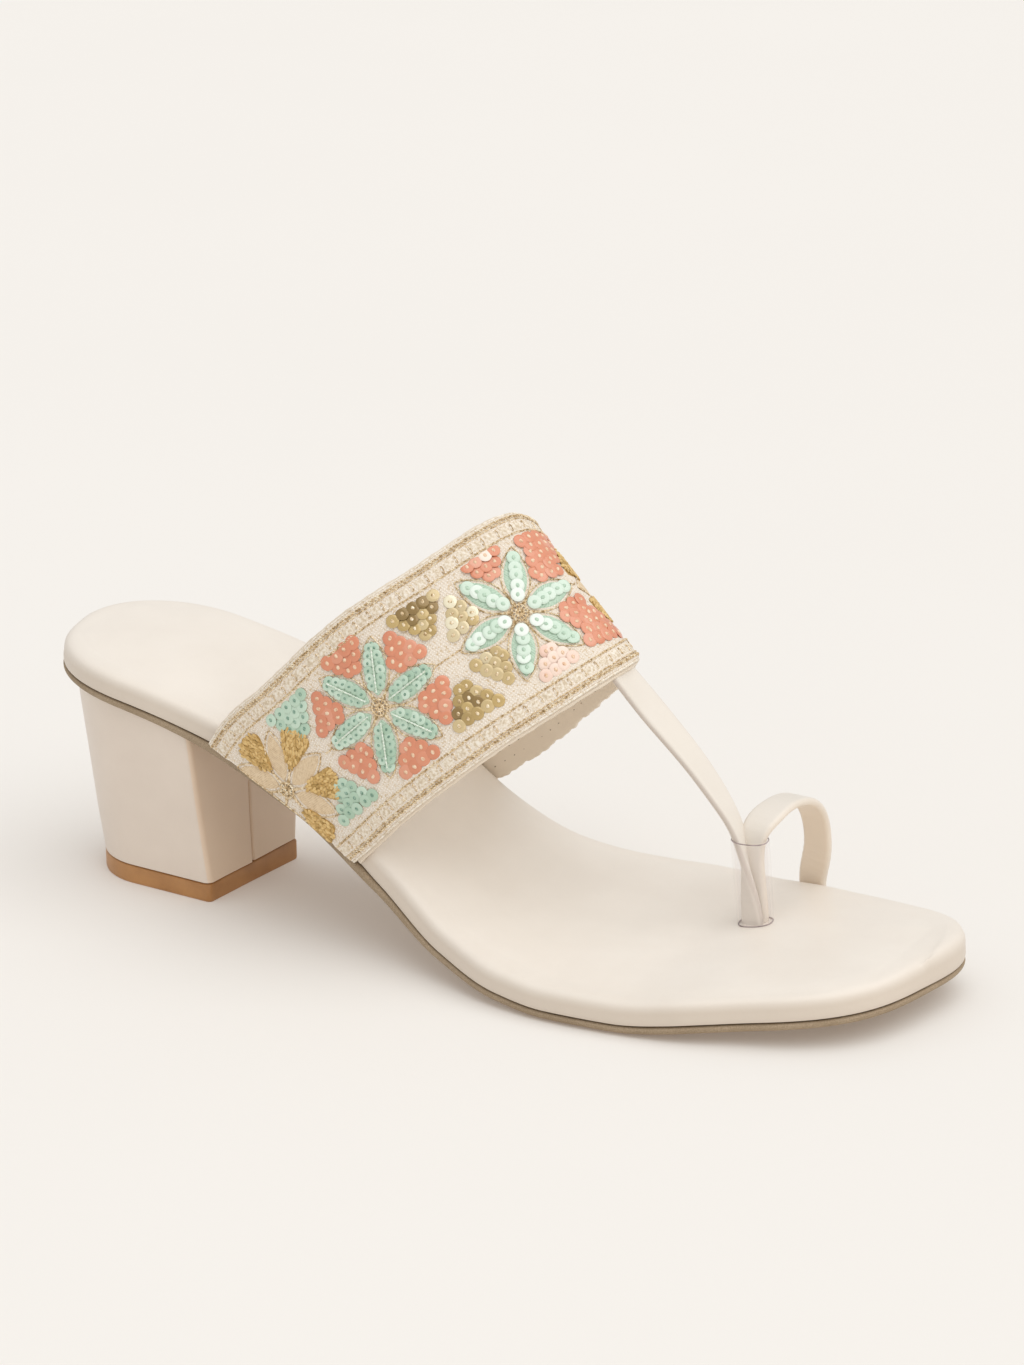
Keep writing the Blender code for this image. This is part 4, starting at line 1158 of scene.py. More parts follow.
def make_straps():
    depth = WALL_DEPTH + WALL + STRAP_THICK / 2 - STRAP_BITE
    around = np.array((STRAP_AT - STRAP_SPAN, STRAP_AT, STRAP_AT + STRAP_SPAN))
    sewn = []
    for across in STRAP_ENDS:
        before, point, after = band_point(around, across, depth)
        x, y, z = after - before
        turn = math.degrees(math.atan2(x, y))
        tilt = math.degrees(math.atan2(z, math.hypot(x, y)))
        sewn.append(StrapRow(*point, turn, STRAP_SEWN_WIDTH, tilt))
    rings = sweep_strap(sewn + list(STRAP_ROWS), STRAP_STATIONS, strap_creases)
    # The strap's edges take painted shade
    add_tube("toe_strap", rings, "strap", "upper", tone=painted_strap_edges(len(rings)))
    edge = medial_edge(LOOP_FOOT_X)
    normal_x, normal_z = seam_normal(LOOP_FOOT_X)
    tilt = math.degrees(math.atan2(-normal_x, normal_z))
    foot = []
    for row in LOOP_FOOT:
        point = sole_point(LOOP_FOOT_X, edge - row.inset, row.lift)
        foot.append(StrapRow(*point, LOOP_FOOT_TURN, STRAP_WIDTH, tilt, row.thick))
    rings = sweep_strap(list(LOOP_ROWS) + foot, LOOP_STATIONS, loop_creases)
    add_tube("toe_loop", rings, "loop", "upper", tone=painted_loop_inside(len(rings)))


def post_oval(grow, z):
    """Oval around the post at a height, grown from the sleeve's bore."""
    rise = (z - POST_LOW.z) / (POST_HIGH.z - POST_LOW.z)
    angle = circle(SLEEVE_SIDES)
    cos = np.cos(angle)
    sin = np.sin(angle)
    power = 2 / SLEEVE_POWER
    narrow = SLEEVE_TAPER + (1 - SLEEVE_TAPER) * rise
    long = (SLEEVE_HALF_LONG * narrow - SLEEVE_WALL + grow) * np.sign(cos) * np.abs(cos) ** power
    short = (SLEEVE_HALF_SHORT * narrow - SLEEVE_WALL + grow) * np.sign(sin) * np.abs(sin) ** power
    turn = math.radians(POST_TURN)
    x = POST_LOW.x + (POST_HIGH.x - POST_LOW.x) * rise + long * math.cos(turn) - short * math.sin(turn)
    y = POST_LOW.y + (POST_HIGH.y - POST_LOW.y) * rise + long * math.sin(turn) + short * math.cos(turn)
    return x, y


def make_sleeve():
    """Thin clear tube that stands on the insole, its rim rolled over."""
    half = SLEEVE_WALL / 2
    angle = np.linspace(0, math.pi, SLEEVE_RIM_STEPS + 1)
    up = np.linspace(0, 1, SLEEVE_ROWS)
    plain = np.zeros(SLEEVE_ROWS)
    grow = np.concatenate((plain + SLEEVE_WALL, half + half * np.cos(angle), plain))
    share = np.concatenate((up, np.ones(SLEEVE_RIM_STEPS + 1), up[::-1]))
    over = np.concatenate((plain, half * np.sin(angle), plain))
    rings = np.array([sleeve_ring(*row) for row in zip(grow, share, over)])
    faces = wrap_faces(len(rings), SLEEVE_SIDES)
    sleeve = add_piece("sleeve_clear", rings, faces, "sleeve", "post_sleeve")
    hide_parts("post_sleeve")


def sleeve_ring(wall, rise, lift):
    """Oval of the sleeve at a share of the way up from the footbed."""
    half = SLEEVE_WALL / 2
    x, y = post_oval(wall, POST_LOW.z + (POST_HIGH.z - half - POST_LOW.z) * rise)
    pad = PAD_THICK + pad_relief(x, y, PAD_THICK)
    foot = seam_height(x) + pad / seam_normal(x)[1]
    return np.column_stack((x, y, foot * (1 - rise) + (POST_HIGH.z - half) * rise + lift))


def make_sleeve_rims():
    """Cut edges of the sleeve, which look darker than its clear wall."""
    for name, rise, lift in (("foot", 0.0, SLEEVE_RIM), ("top", 1.0, SLEEVE_WALL / 2)):
        rings = np.array([sleeve_ring(SLEEVE_WALL / 2 + SLEEVE_RIM * math.cos(turn), rise,
                                      lift + SLEEVE_RIM * math.sin(turn)) for turn in circle(RIM_SIDES)])
        faces = wrap_faces(len(rings), SLEEVE_SIDES)
        add_piece("sleeve_rim_" + name, rings, faces, "rim", "post_sleeve")


# Embroidery

Flower = namedtuple("Flower", "around scale petals wedges")
PETALS = 6
OCHRE = ("ochre",) * PETALS
CORAL = ("coral",) * PETALS
MIXED = ("coral", "rose", "gold", "gold", "blush", "coral")
FLOWERS = (
    Flower(0.027, 0.90, "beige", OCHRE),
    Flower(0.217, 1.00, "sewn", CORAL),
    Flower(0.435, 1.00, "pearly", MIXED),
    Flower(0.620, 0.95, "beige", OCHRE),
    Flower(0.830, 1.00, "sewn", CORAL),
)
FLOWER_LINE = 0.485
Corner = namedtuple("Corner", "around kind")
CORNERS = (
    Corner(0.107, "mint"),
    Corner(0.322, "bronze"),
    Corner(0.523, "coral"),
    Corner(0.731, "mint"),
    Corner(0.945, "bronze"),
)
PETAL_START = 3.0 * MM
PETAL_END = 17.0 * MM
PETAL_HALF = 3.25 * MM
PETAL_RISE = 0.50 * MM
OUTLINE_OUT = 0.60 * MM
OUTLINE_RADIUS = 0.13 * MM
OUTLINE_HEIGHT = 0.18 * MM
LINK_HEIGHT = 0.16 * MM
LEAST_KEPT = 0.4
BEIGE_RISE = 0.35 * MM
PEARL_HEIGHT = 0.85 * MM
SEWN_HEIGHT = 0.72 * MM
VEIN_HEIGHT = 1.10 * MM
VEIN_RADIUS = 0.15 * MM
PATCH_HEIGHT = 0.50 * MM
PATCH_WOBBLE = 0.14 * MM
VEIN_FOOT = 0.8 * MM
VEIN_TIP = 1.6 * MM
PEARLY_STEP = 2.5 * MM
PEARLY_FOOT = 1.2 * MM
PEARLY_TIP = 2.3 * MM
PEARLY_WOBBLE = 0.15 * MM
SEWN_STEP = 1.9 * MM
SEWN_FOOT = 1.0 * MM
SEWN_TIP = 1.8 * MM
SEWN_ASIDE = 0.5
SEWN_TURN = 0.6
PAD_SINK = 0.12 * MM
PAD_RIB = 0.07 * MM
PAD_RIB_PITCH = 0.75 * MM
PAD_RIB_SLANT = 0.9
PAD_TONE_SWING = 0.22
SLAB_DEEP = 0.25 * MM
CENTRE_REACH = 2.6 * MM
CENTRE_HEIGHT = 0.40 * MM
SPOKE_HEIGHT = 0.28 * MM
WEDGE_START = 7.4 * MM
WEDGE_END = 20.0 * MM
WEDGE_HALF = 6.2 * MM
WEDGE_RISE_MM = 0.46
WEDGE_SINK_MM = 0.12
WEDGE_BULGE = 0.10
WEDGE_TONE = 0.36
STITCH_STEP = 1.20 * MM
STITCH_ROW = 0.92 * MM
STITCH_WOBBLE = 0.13 * MM
STITCH_SLANT = 0.25
STITCH_HEIGHT = 0.40 * MM
STITCH_TONES = (0.30, 0.92)
STITCH_TURNS = 0.35
STITCH_LEANS = 0.15
SequinRow = namedtuple("SequinRow", "reach wide count")
WEDGE_ROWS = (
    SequinRow(17.3 * MM, 8.6 * MM, 4),
    SequinRow(14.8 * MM, 5.4 * MM, 3),
    SequinRow(12.2 * MM, 1.8 * MM, 2),
)
CORNER_ROWS = (
    SequinRow(15.9 * MM, 12.0 * MM, 5),
    SequinRow(13.5 * MM, 8.6 * MM, 4),
    SequinRow(11.1 * MM, 5.0 * MM, 3),
    SequinRow(8.7 * MM, 1.6 * MM, 2),
)
Bead = namedtuple("Bead", "long wide high")
STITCH_BEAD = Bead(0.86 * MM, 0.48 * MM, 0.32 * MM)
LINING_BEAD = Bead(0.30 * MM, 0.18 * MM, 0.12 * MM)
KNOT_BEAD = Bead(0.33, 0.25, 0.13)
Sequin = namedtuple("Sequin", "look knots radius low high odd share tilt")
SEQUINS = {
    "coral": Sequin("coral", "peach_thread", 1.95 * MM, 0.40, 0.56, 0.56, 0.00, 0.06),
    "rose": Sequin("coral", "peach_thread", 1.75 * MM, 0.40, 0.60, 1.00, 0.22, 0.15),
    "blush": Sequin("coral", "peach_thread", 1.75 * MM, 0.78, 1.00, 0.52, 0.25, 0.17),
    "mint": Sequin("mint", "mint_dark_thread", 1.70 * MM, 0.10, 0.45, 0.45, 0.00, 0.13),
    "sewn": Sequin("mint", "mint_dark_thread", 1.30 * MM, 0.10, 0.55, 0.55, 0.00, 0.10),
    "pearl": Sequin("mint", "mint_thread", 1.85 * MM, 0.30, 0.90, 1.00, 0.00, 0.13),
    "gold": Sequin("gold", "zari", 1.75 * MM, 0.55, 0.80, 1.00, 0.30, 0.17),
    "bronze": Sequin("gold", "zari", 1.75 * MM, 0.34, 0.64, 0.13, 0.25, 0.17),
}
SEQUIN_SIDES = 20
SEQUIN_PROFILE = ((0.26, -0.07), (0.26, 0.00), (0.60, 0.03), (0.93, 0.00), (1.00, -0.04), (0.94, -0.08))
SEQUIN_CUP = 0.05
SEQUIN_TURNS = 0.2
SEQUIN_LEANS = 0.05
ROPE_RADIUS = 0.16 * MM
ROPE_WIDE = 0.10 * MM
ROPE_FLAT = 0.6
ROPE_PITCH = 1.7 * MM
ROPE_STEP = 0.30 * MM
ROPE_SIDES = 4
TWIST_WOBBLE = 0.15
BAND_EDGE = 0.002
EDGING_RADIUS = 0.34 * MM
EDGING_SIDES = 12
EDGING_TALL = 1.5
Braid = namedtuple("Braid", "inset radius wide")
BRAIDS = (
    Braid(1.15 * MM, 0.20 * MM, 0.32 * MM),
    Braid(2.00 * MM, 0.11 * MM, 0.12 * MM),
    Braid(5.85 * MM, 0.15 * MM, 0.22 * MM),
)
BRAID_HEIGHT = 0.14 * MM
BLOCK_LINE = 3.95 * MM
BLOCK_PITCH = 4.4 * MM
BLOCK_LONG = 1.62 * MM
BLOCK_WIDE = 1.30 * MM
BLOCK_WOBBLE = 0.15 * MM
BLOCK_TURNS = 0.07
BLOCK_AHEAD = 0.5 * MM
BLOCK_RISE = 0.16 * MM
BLOCK_SINK = 0.05 * MM
BLOCK_RIB = 0.05 * MM
BESIDE_LONG = 0.30 * MM
BESIDE_WIDE = 1.1 * MM
BESIDE_HEIGHT = 0.10 * MM
BESIDE_RADIUS = 0.08 * MM
BESIDE_TWIST = 0.05 * MM
LINING_STITCH_ROWS = (0.055, 0.120, 0.880, 0.945)
LINING_STITCH_STEP = 3.6 * MM
LINING_STITCH_SHARE = 0.65
LINING_STITCH_PROUD = 0.02 * MM


class Heap:
    """Many small shapes gathered into one mesh."""

    def __init__(self):
        self.points = []
        self.faces = []
        self.tones = []
        self.count = 0

    def add(self, points, faces, tone=0.5):
        self.points.append(points)
        self.faces.append(faces + self.count)
        self.tones.append(np.full(len(points), tone))
        self.count += len(points)

    def build(self, name, look, slot):
        faces = np.concatenate(self.faces).tolist()
        faces = [face[:3] if face[2] == face[3] else face for face in faces]
        tone = np.concatenate(self.tones)
        return add_piece(name, np.concatenate(self.points), faces, look, slot, tone=tone)


def sequin_template():
    """Flat disc of radius 1 with a hole, cupped a little."""
    angle = circle(SEQUIN_SIDES)
    rings = []
    for reach, rise in SEQUIN_PROFILE:
        level = np.full(SEQUIN_SIDES, rise - SEQUIN_CUP * reach ** 2)
        rings.append(np.stack((reach * np.cos(angle), reach * np.sin(angle), level), axis=1))
    return np.concatenate(rings), wrap_faces(len(rings), SEQUIN_SIDES)


def bead_template(long, wide, high, rows=5, sides=8):
    """Small rounded stitch, longer than it is wide."""
    tilt = np.linspace(-math.pi / 2, math.pi / 2, rows + 2)[1:-1]
    angle = circle(sides)
    rings = [np.stack((np.full(sides, long * np.sin(t)), wide * np.cos(t) * np.cos(angle),
                       high * np.cos(t) * np.sin(angle)), axis=1) for t in tilt]
    points = np.concatenate(rings + [np.array(((-long, 0, 0), (long, 0, 0)))])
    step = np.arange(sides)
    after = (step + 1) % sides
    first = np.full(sides, rows * sides)
    top = (rows - 1) * sides
    low = np.stack((after, step, first, first), axis=1)
    high = np.stack((top + step, top + after, first + 1, first + 1), axis=1)
    return points, np.concatenate((grid_faces(rows, sides, closed=True), low, high))


def slab_faces(rows, columns):
    """Quads of a grid's top, of its underside, numbered after the top, and of the rim between them."""
    total = rows * columns
    index = np.arange(total).reshape(rows, columns)
    rim = np.concatenate((index[0], index[1:, -1], index[-1, -2::-1], index[-2:0:-1, 0]))
    after = np.roll(rim, -1)
    top = grid_faces(rows, columns)
    wall = np.stack((after, rim, rim + total, after + total), axis=1)
    return np.concatenate((top, top[:, ::-1] + total, wall))


def turned(spot, angle):
    """A spot with its directions turned about outward."""
    cos = np.cos(angle)[:, None]
    sin = np.sin(angle)[:, None]
    along = spot.along * cos + spot.over * sin
    return spot._replace(along=along, over=spot.over * cos - spot.along * sin)


def tipped(spot, angle):
    """A spot with its outward direction leaned back, so that the side along rises."""
    cos = np.cos(angle)[:, None]
    sin = np.sin(angle)[:, None]
    along = spot.along * cos + spot.outward * sin
    return spot._replace(along=along, outward=spot.outward * cos - spot.along * sin)


def lens_half(share):
    """Half-width of a petal along its length, as a share of the widest."""
    return np.sin(math.pi * np.clip(share, 0, 1) ** 0.92) ** 0.78


def end_swell(share):
    """Rounding of a wedge's two ends."""
    return np.sqrt(np.clip(1 - np.abs(2 * share - 1) ** 6, 0.01, 1))


def wedge_half(share):
    """Half-width of a wedge along its length."""
    return WEDGE_HALF * (0.26 + 0.74 * share) * end_swell(share)


def ray(axis):
    """Unit direction of the flat layout and the one square to it."""
    along = np.array((math.cos(axis), math.sin(axis)))
    return along, np.array((-along[1], along[0]))


class Embroidery:
    """Everything sewn on the band's cloth, gathered by thread and sequin colour."""

    def __init__(self):
        self.random = np.random.default_rng(7)
        self.heaps = {}

    def heap(self, name):
        return self.heaps.setdefault(name, Heap())

    def kept(self, flat):
        around, _ = to_band(flat)
        return (around > CLOTH_START) & (around < 1 - BAND_EDGE)

    def sequins(self, kind, flat, facing, height, tones=None):
        """Overlapping sequins at places of the flat layout; the side that each faces with rises."""
        sort = SEQUINS[kind]
        count = len(flat)
        if tones is None:
            odd = self.random.random(count) < sort.share
            tones = np.where(odd, sort.odd, self.random.uniform(sort.low, sort.high, count))
        spot = turned(on_band(flat, height), facing + self.random.normal(0, SEQUIN_TURNS, count))
        spot = tipped(spot, sort.tilt + self.random.normal(0, SEQUIN_LEANS, count))
        disc, disc_faces = sequin_template()
        knot, knot_faces = bead_template(*KNOT_BEAD)
        for i in np.flatnonzero(self.kept(flat)):
            axes = sort.radius * np.stack((spot.along[i], spot.over[i], spot.outward[i]))
            self.heap(sort.look).add(spot.points[i] + disc @ axes, disc_faces, tones[i])
            self.heap(sort.knots).add(spot.points[i] + knot @ axes, knot_faces)

    def rope(self, name, path, height, radius=ROPE_RADIUS, wide=ROPE_WIDE):
        """Two strands twisted around each other along a path of the flat layout, cut at the band's ends."""
        run = chord_knots(path)
        even = np.linspace(0, run[-1], max(int(run[-1] / ROPE_STEP), 4) + 1)
        flat = pick(path, even, run)
        inside = np.flatnonzero(self.kept(flat))
        if len(inside) < 4:
            return
        flat = flat[inside[0]:inside[-1] + 1]
        even = even[inside[0]:inside[-1] + 1]
        spot = on_band(flat, height)
        heading = unit(np.gradient(spot.points, axis=0))
        aside = unit(np.cross(spot.outward, heading))
        thick = (radius * (1 + 0.2 * np.sin(even / ROPE_STEP * 1.7)))[:, None, None]
        for strand in range(2):
            wobble = self.random.normal(0, TWIST_WOBBLE, len(even))
            twist = 2 * math.pi * even / ROPE_PITCH + math.pi * strand + wobble
            centre = (spot.points + wide * np.cos(twist)[:, None] * aside
                      + ROPE_FLAT * radius * np.sin(twist)[:, None] * spot.outward)
            rings = hoops(centre, aside, spot.outward, thick, ROPE_SIDES)
            self.heap(name).add(rings.reshape(-1, 3), grid_faces(len(rings), ROPE_SIDES, closed=True))

    def slab(self, name, flat, height, stripes):
        """Raised patch of satin stitches with its underside in the cloth; stripes tones it, row by row."""
        around, across = to_band(flat)
        around = np.clip(around, BAND_EDGE, 1 - BAND_EDGE)
        ground = ground_depth(across)
        top = band_point(around, across, ground - height)
        under = band_point(around, across, ground + SLAB_DEEP)
        tone = np.tile(stripes.ravel(), 2)
        self.heap(name).add(np.concatenate((top, under)), slab_faces(*stripes.shape), tone)

    def petal_pad(self, name, centre, axis, scale, rise):
        """Raised lens of stitches that lie slantwise to both sides of the petal's middle."""
        rows = 40
        columns = 15
        along, over = ray(axis)
        share = np.linspace(0.012, 0.988, rows)[:, None]
        across = np.linspace(-1, 1, columns)[None, :]
        reach = scale * (PETAL_START + (PETAL_END - PETAL_START) * share)
        wide = scale * PETAL_HALF * lens_half(share) * across
        flat = (centre + (reach + 0 * across)[..., None] * along + wide[..., None] * over).reshape(-1, 2)
        if self.kept(flat).mean() < LEAST_KEPT:
            return
        round_top = np.clip(1 - across ** 2, 0, 1)
        stitches = np.sin((reach - PAD_RIB_SLANT * np.abs(wide)) / PAD_RIB_PITCH * 2 * math.pi)
        height = -PAD_SINK + rise * np.sqrt(round_top) + PAD_RIB * stitches * round_top
        self.slab(name, flat, height.ravel(), 0.5 + PAD_TONE_SWING * stitches)

    def wedge_pad(self, name, centre, axis, scale):
        """Rounded wedge that opens away from a centre: a dark ground heaped with short stitches."""
        rows = 24
        columns = 21
        along, over = ray(axis)
        share = np.linspace(0, 1, rows)[:, None]
        across = np.linspace(-1, 1, columns)[None, :]
        bulged = share - WEDGE_BULGE * across ** 2 * share
        reach = scale * (WEDGE_START + (WEDGE_END - WEDGE_START) * bulged)
        wide = scale * wedge_half(share) * across
        flat = (centre + reach[..., None] * along + wide[..., None] * over).reshape(-1, 2)
        if self.kept(flat).mean() < LEAST_KEPT:
            return
        swell = np.sqrt(np.clip(1 - across ** 4, 0, 1)) * end_swell(share)
        height = (WEDGE_RISE_MM * swell - WEDGE_SINK_MM).ravel() * MM
        self.slab(name, flat, height, np.full(wide.shape, WEDGE_TONE))
        reach = np.arange(WEDGE_START + STITCH_STEP / 2, WEDGE_END, STITCH_STEP)[:, None]
        aside = np.arange(-WEDGE_HALF, WEDGE_HALF, STITCH_ROW)[None, :]
        aside = aside + np.where(np.arange(len(reach)) % 2, STITCH_ROW / 2, 0)[:, None]
        share = (reach - WEDGE_START) / (WEDGE_END - WEDGE_START) + 0 * aside
        across = np.abs(aside) / (wedge_half(share) - 0.4 * STITCH_ROW)
        inside = (across < 1) & (share < 0.96 - WEDGE_BULGE * across ** 2)
        reach = (reach + 0 * aside)[inside]
        flat = centre + scale * (reach[:, None] * along + aside[inside][:, None] * over)
        flat = flat + self.random.normal(0, STITCH_WOBBLE, flat.shape)
        self.short_stitches(name, flat, axis + STITCH_SLANT, STITCH_HEIGHT)

    def short_stitches(self, name, flat, axis, height):
        """Plump stitches at places of the flat layout, each turned and toned a little differently."""
        count = len(flat)
        tones = self.random.uniform(*STITCH_TONES, count)
        spot = turned(on_band(flat, height), axis + self.random.normal(0, STITCH_TURNS, count))
        spot = tipped(spot, self.random.normal(0, STITCH_LEANS, count))
        bead, faces = bead_template(*STITCH_BEAD, rows=3, sides=6)
        for i in np.flatnonzero(self.kept(flat)):
            axes = np.stack((spot.along[i], spot.over[i], spot.outward[i]))
            self.heap(name).add(spot.points[i] + bead @ axes, faces, tones[i])

    def petal_outline(self, centre, axis, scale):
        """Gold thread around a petal, from near the flower's centre and back."""
        along, over = ray(axis)
        share = np.linspace(0, 1, 30)
        start = PETAL_START - 2 * OUTLINE_OUT
        reach = scale * (start + (PETAL_END + 2 * OUTLINE_OUT - start) * share)
        wide = scale * (PETAL_HALF + OUTLINE_OUT) * lens_half(share)
        sides = [centre + reach[:, None] * along + side * wide[:, None] * over for side in (1, -1)]
        self.rope("zari", np.concatenate((sides[0], sides[1][-2::-1])), OUTLINE_HEIGHT, radius=OUTLINE_RADIUS)

    def petal(self, kind, centre, axis, scale):
        along, over = ray(axis)
        self.petal_outline(centre, axis, scale)
        if kind == "beige":
            self.petal_pad("beige_thread", centre, axis, scale, BEIGE_RISE)
            return
        self.petal_pad("mint_thread", centre, axis, scale, PETAL_RISE)
        length = PETAL_END - PETAL_START
        if kind == "pearly":
            reach = np.arange(PETAL_END - PEARLY_TIP, PETAL_START + PEARLY_FOOT, -PEARLY_STEP)
            tones = self.random.uniform(0.40, 0.68, len(reach))
            tones[self.random.integers(1, len(reach))] = 0.80
            tones[-1] = self.random.choice((0.62, 0.88))
            flat = centre + reach[:, None] * along
            flat = flat + self.random.normal(0, PEARLY_WOBBLE, flat.shape)
            self.sequins("pearl", flat, np.full(len(reach), axis), PEARL_HEIGHT, tones)
            return
        reach = np.arange(PETAL_END - SEWN_TIP, PETAL_START + SEWN_FOOT, -SEWN_STEP)
        wide = SEWN_ASIDE * PETAL_HALF * lens_half((reach - PETAL_START) / length)
        for side in (-1, 1):
            flat = centre + reach[:, None] * along + side * wide[:, None] * over
            self.sequins("sewn", flat, np.full(len(reach), axis - side * SEWN_TURN), SEWN_HEIGHT)
        vein = centre + np.linspace(PETAL_START + VEIN_FOOT, PETAL_END - VEIN_TIP, 12)[:, None] * along
        self.rope("mint_pale_thread", vein, VEIN_HEIGHT, radius=VEIN_RADIUS)

    def patch(self, kind, centre, axis, scale, rows):
        """Rows of sequins that open away from a centre."""
        along, over = ray(axis)
        places = []
        for row in rows:
            for aside in np.linspace(-0.5, 0.5, row.count) * row.wide:
                places.append(centre + scale * (row.reach * along + aside * over))
        flat = np.array(places) + self.random.normal(0, PATCH_WOBBLE, (len(places), 2))
        self.sequins(kind, flat, np.full(len(flat), axis + math.pi), PATCH_HEIGHT)

    def line_place(self, around):
        """Place and heading of the flowers' line at a share around the band."""
        near = np.clip((around - 0.01, around, around + 0.01), 0, 1)
        before, place, after = lay_flat(near, np.full(3, FLOWER_LINE))
        return place, math.atan2(*(after - before)[::-1])

    def flower(self, row):
        centre, heading = self.line_place(row.around)
        for k in range(PETALS):
            axis = heading + 2 * math.pi * k / PETALS
            self.petal(row.petals, centre, axis, row.scale)
            between = axis + math.pi / PETALS
            if row.wedges[k] == "ochre":
                self.wedge_pad("ochre_thread", centre, between, row.scale)
            else:
                self.patch(row.wedges[k], centre, between, row.scale, WEDGE_ROWS)
            for turn, end in ((axis, CENTRE_REACH), (between, 2.2 * CENTRE_REACH)):
                spoke = centre + np.linspace(0.2 * MM, end, 8)[:, None] * ray(turn)[0]
                self.rope("zari", spoke, SPOKE_HEIGHT)
        turn = np.linspace(0, 2 * math.pi, 33)
        ring = np.stack((np.cos(turn), np.sin(turn)), axis=1)
        for radius in (0.4 * CENTRE_REACH, 0.8 * CENTRE_REACH):
            self.rope("zari", centre + radius * ring, CENTRE_HEIGHT)
        return centre

    def corner(self, row):
        """Sequin triangle near each border, between two flowers."""
        centre, heading = self.line_place(row.around)
        for side in (-1, 1):
            self.patch(row.kind, centre, heading + side * math.pi / 2, 1.0, CORNER_ROWS)

    def edge_line(self, around, inset, side):
        """Line of the flat layout at a distance in from the back edge or the front one."""
        wide = np.linalg.norm(pick(FLAT_FRONT - FLAT_BACK, around * (RULINGS - 1)), axis=1)
        across = inset / wide
        return lay_flat(around, across if side == "back" else 1 - across)

    def borders(self):
        """Gold braid along both edges, a row of pale blocks and a second, thinner braid."""
        around = np.linspace(0, 1, 500)
        for side in ("back", "front"):
            for braid in BRAIDS:
                line = self.edge_line(around, braid.inset, side)
                self.rope("zari", line, BRAID_HEIGHT, braid.radius, braid.wide)
            line = self.edge_line(around, BLOCK_LINE, side)
            run = chord_knots(line)
            at = np.arange(0.6 * BLOCK_PITCH, run[-1] - 0.5 * BLOCK_PITCH, BLOCK_PITCH)
            at = at + self.random.normal(0, BLOCK_WOBBLE, len(at))
            spots = pick(line, at, run)
            ahead = pick(line, at + BLOCK_AHEAD, run) - spots
            for spot, step in zip(spots, ahead):
                self.block(spot, math.atan2(step[1], step[0]) + self.random.normal(0, BLOCK_TURNS))

    def block(self, centre, axis):
        """Satin-stitched pale block, with a gold loop beside it."""
        size = 11
        along, over = ray(axis)
        a = np.linspace(-1, 1, size)
        swell = (1 - np.abs(a[:, None]) ** 4) * (1 - np.abs(a[None, :]) ** 4)
        ribs = np.sin(a[:, None] * 5 * math.pi) * swell
        long = BLOCK_LONG * self.random.uniform(0.88, 1.08)
        flat = centre + (a[:, None, None] * long) * along + (a[None, :, None] * BLOCK_WIDE) * over
        height = BLOCK_RISE * swell - BLOCK_SINK + BLOCK_RIB * ribs
        self.slab("pale_thread", flat.reshape(-1, 2), height.ravel(), 0.55 + 0.30 * ribs)
        turn = np.linspace(-0.9, 0.9, 12) * math.pi
        loop = centre + (0.5 * BLOCK_PITCH + BESIDE_LONG * np.cos(turn))[:, None] * along
        loop = loop + (BESIDE_WIDE * np.sin(turn))[:, None] * over
        self.rope("zari", loop, BESIDE_HEIGHT, radius=BESIDE_RADIUS, wide=BESIDE_TWIST)

    def sew(self):
        centres = [self.flower(row) for row in FLOWERS]
        for first, second in zip(centres, centres[1:]):
            step = unit(second - first) * (PETAL_END + OUTLINE_OUT)
            if np.hypot(*(second - first)) > 2 * np.hypot(*step):
                link = np.linspace(first + step, second - step, 20)
                self.rope("zari", link, LINK_HEIGHT, radius=OUTLINE_RADIUS)
        for row in CORNERS:
            self.corner(row)
        self.borders()
        return [heap.build("embroidery_" + name, name, "band_panel") for name, heap in self.heaps.items()]


def make_edging():
    """Edge of pale thread along the band's back and front."""
    around = np.linspace(CLOTH_START, 1 - BAND_EDGE, BAND_STATIONS + 1)
    for name, across in (("back", -0.002), ("front", 1.002)):
        centre = band_point(around, across, 0.6 * PANEL_THICK)
        outward = band_outward(around, np.full(len(around), across))
        aside = unit(np.cross(outward, np.gradient(centre, axis=0)))
        rings = hoops(centre, aside, outward, EDGING_RADIUS, EDGING_SIDES, EDGING_TALL)
        add_tube("band_edging_" + name, rings, "edging", "upper")


def make_lining_stitches():
    """Rows of small stitches that show here and there on the lining, under both borders."""
    random = np.random.default_rng(11)
    heap = Heap()
    points, faces = bead_template(*LINING_BEAD)
    fine = np.linspace(0.06, 0.94, 400)
    for across in LINING_STITCH_ROWS:
        run = chord_knots(band_point(fine, across, WALL_DEPTH + WALL))
        around = np.interp(np.arange(0, run[-1], LINING_STITCH_STEP), run, fine)
        at = band_point(around, across, WALL_DEPTH + WALL + LINING_STITCH_PROUD)
        outward = band_outward(around, np.full(len(around), across))
        along = square_to(np.gradient(at, axis=0), outward)
        for i in np.flatnonzero(random.random(len(around)) < LINING_STITCH_SHARE):
            small = random.uniform(0.5, 1.0)
            axes = np.stack((along[i], np.cross(outward[i], along[i]), outward[i]))
            heap.add(at[i] + small * points @ axes, faces)
    heap.build("lining_stitches", "stitch", "upper")


# Floor, light and camera


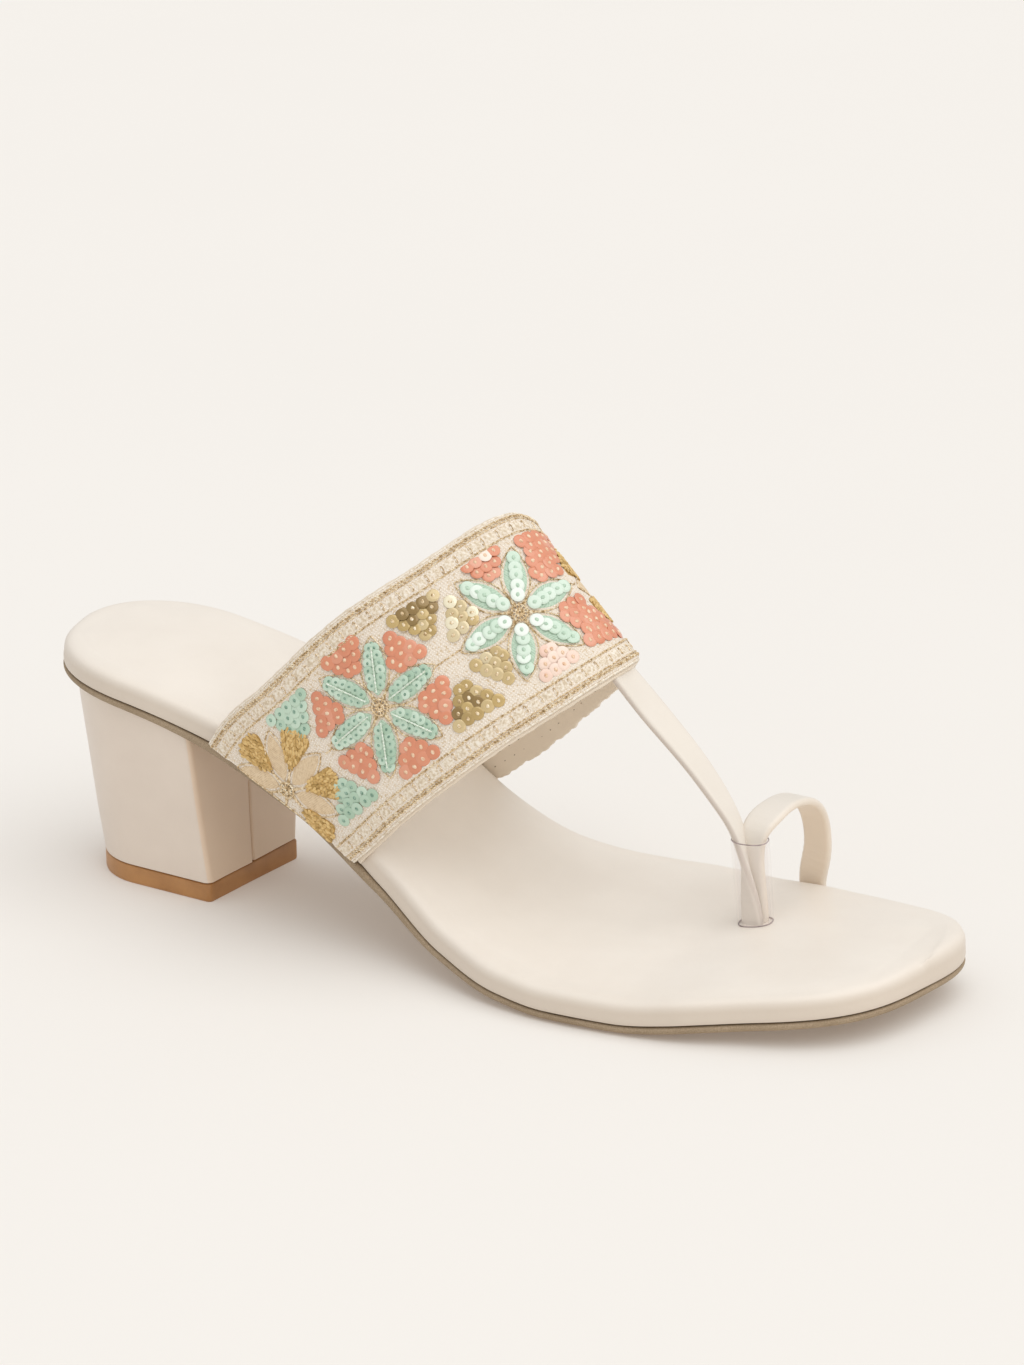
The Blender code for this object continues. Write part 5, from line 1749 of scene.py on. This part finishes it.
def make_stage():
    mesh = bpy.data.meshes.new("floor")
    far = 6.0
    mesh.from_pydata([(-far, -far, 0), (far, -far, 0), (far, far, 0), (-far, far, 0)], [], [(0, 1, 2, 3)])
    mesh.materials.append(make_floor_look())
    floor = bpy.data.objects.new("floor", mesh)
    bpy.context.scene.collection.objects.link(floor)


def aim(lamp, place, target):
    lamp.location = place
    lamp.rotation_mode = "QUATERNION"
    lamp.rotation_quaternion = (Vector(target) - Vector(place)).to_track_quat("-Z", "Y")
    bpy.context.scene.collection.objects.link(lamp)


def make_light():
    """White room, a broad soft light from the right, and a low warm card before the arch."""
    world = bpy.data.worlds.new("studio")
    world.use_nodes = True
    sky = world.node_tree.nodes["Background"]
    sky.inputs["Color"].default_value = (1.0, 0.99, 0.975, 1.0)
    sky.inputs["Strength"].default_value = 0.66
    bpy.context.scene.world = world
    key = bpy.data.lights.new("key", "SUN")
    key.angle = math.radians(75)
    key.energy = 1.45
    key.color = (1.0, 0.985, 0.96)
    aim(bpy.data.objects.new("key", key), (0.65, -0.05, 1.5), (0.0, 0.0, 0.0))
    card = bpy.data.lights.new("low_card", "AREA")
    card.shape = "RECTANGLE"
    card.size = 0.9
    card.size_y = 0.3
    card.energy = 0.5
    card.color = (1.0, 0.80, 0.60)
    aim(bpy.data.objects.new("low_card", card), (0.75, -0.55, 0.16), (-0.03, 0.0, 0.02))
    bpy.context.scene.view_settings.view_transform = "Standard"


def make_camera():
    camera = bpy.data.cameras.new("camera")
    camera.sensor_width = SENSOR_MM
    camera.lens = FOCAL_PIXELS * SENSOR_MM / PHOTO_HEIGHT
    camera.clip_start = 0.05
    camera.clip_end = 30.0
    seen = bpy.data.objects.new("camera", camera)
    back = unit(CAMERA_BACK)
    right = unit(CAMERA_RIGHT - back * (CAMERA_RIGHT @ back))
    up = np.cross(back, right)
    turn = np.eye(4)
    turn[:3, :3] = np.stack((right, up, back), axis=1)
    turn[:3, 3] = EYE
    seen.matrix_world = Matrix(turn.tolist())
    bpy.context.scene.collection.objects.link(seen)
    bpy.context.scene.camera = seen


make_sole()
make_heel()
make_lift()
make_lining()
make_straps()
make_sleeve()
make_sleeve_rims()
cloth = make_band_cloth()
make_edging()
sewn_on = Embroidery().sew()
make_lining_stitches()
make_stage()
make_light()
make_camera()
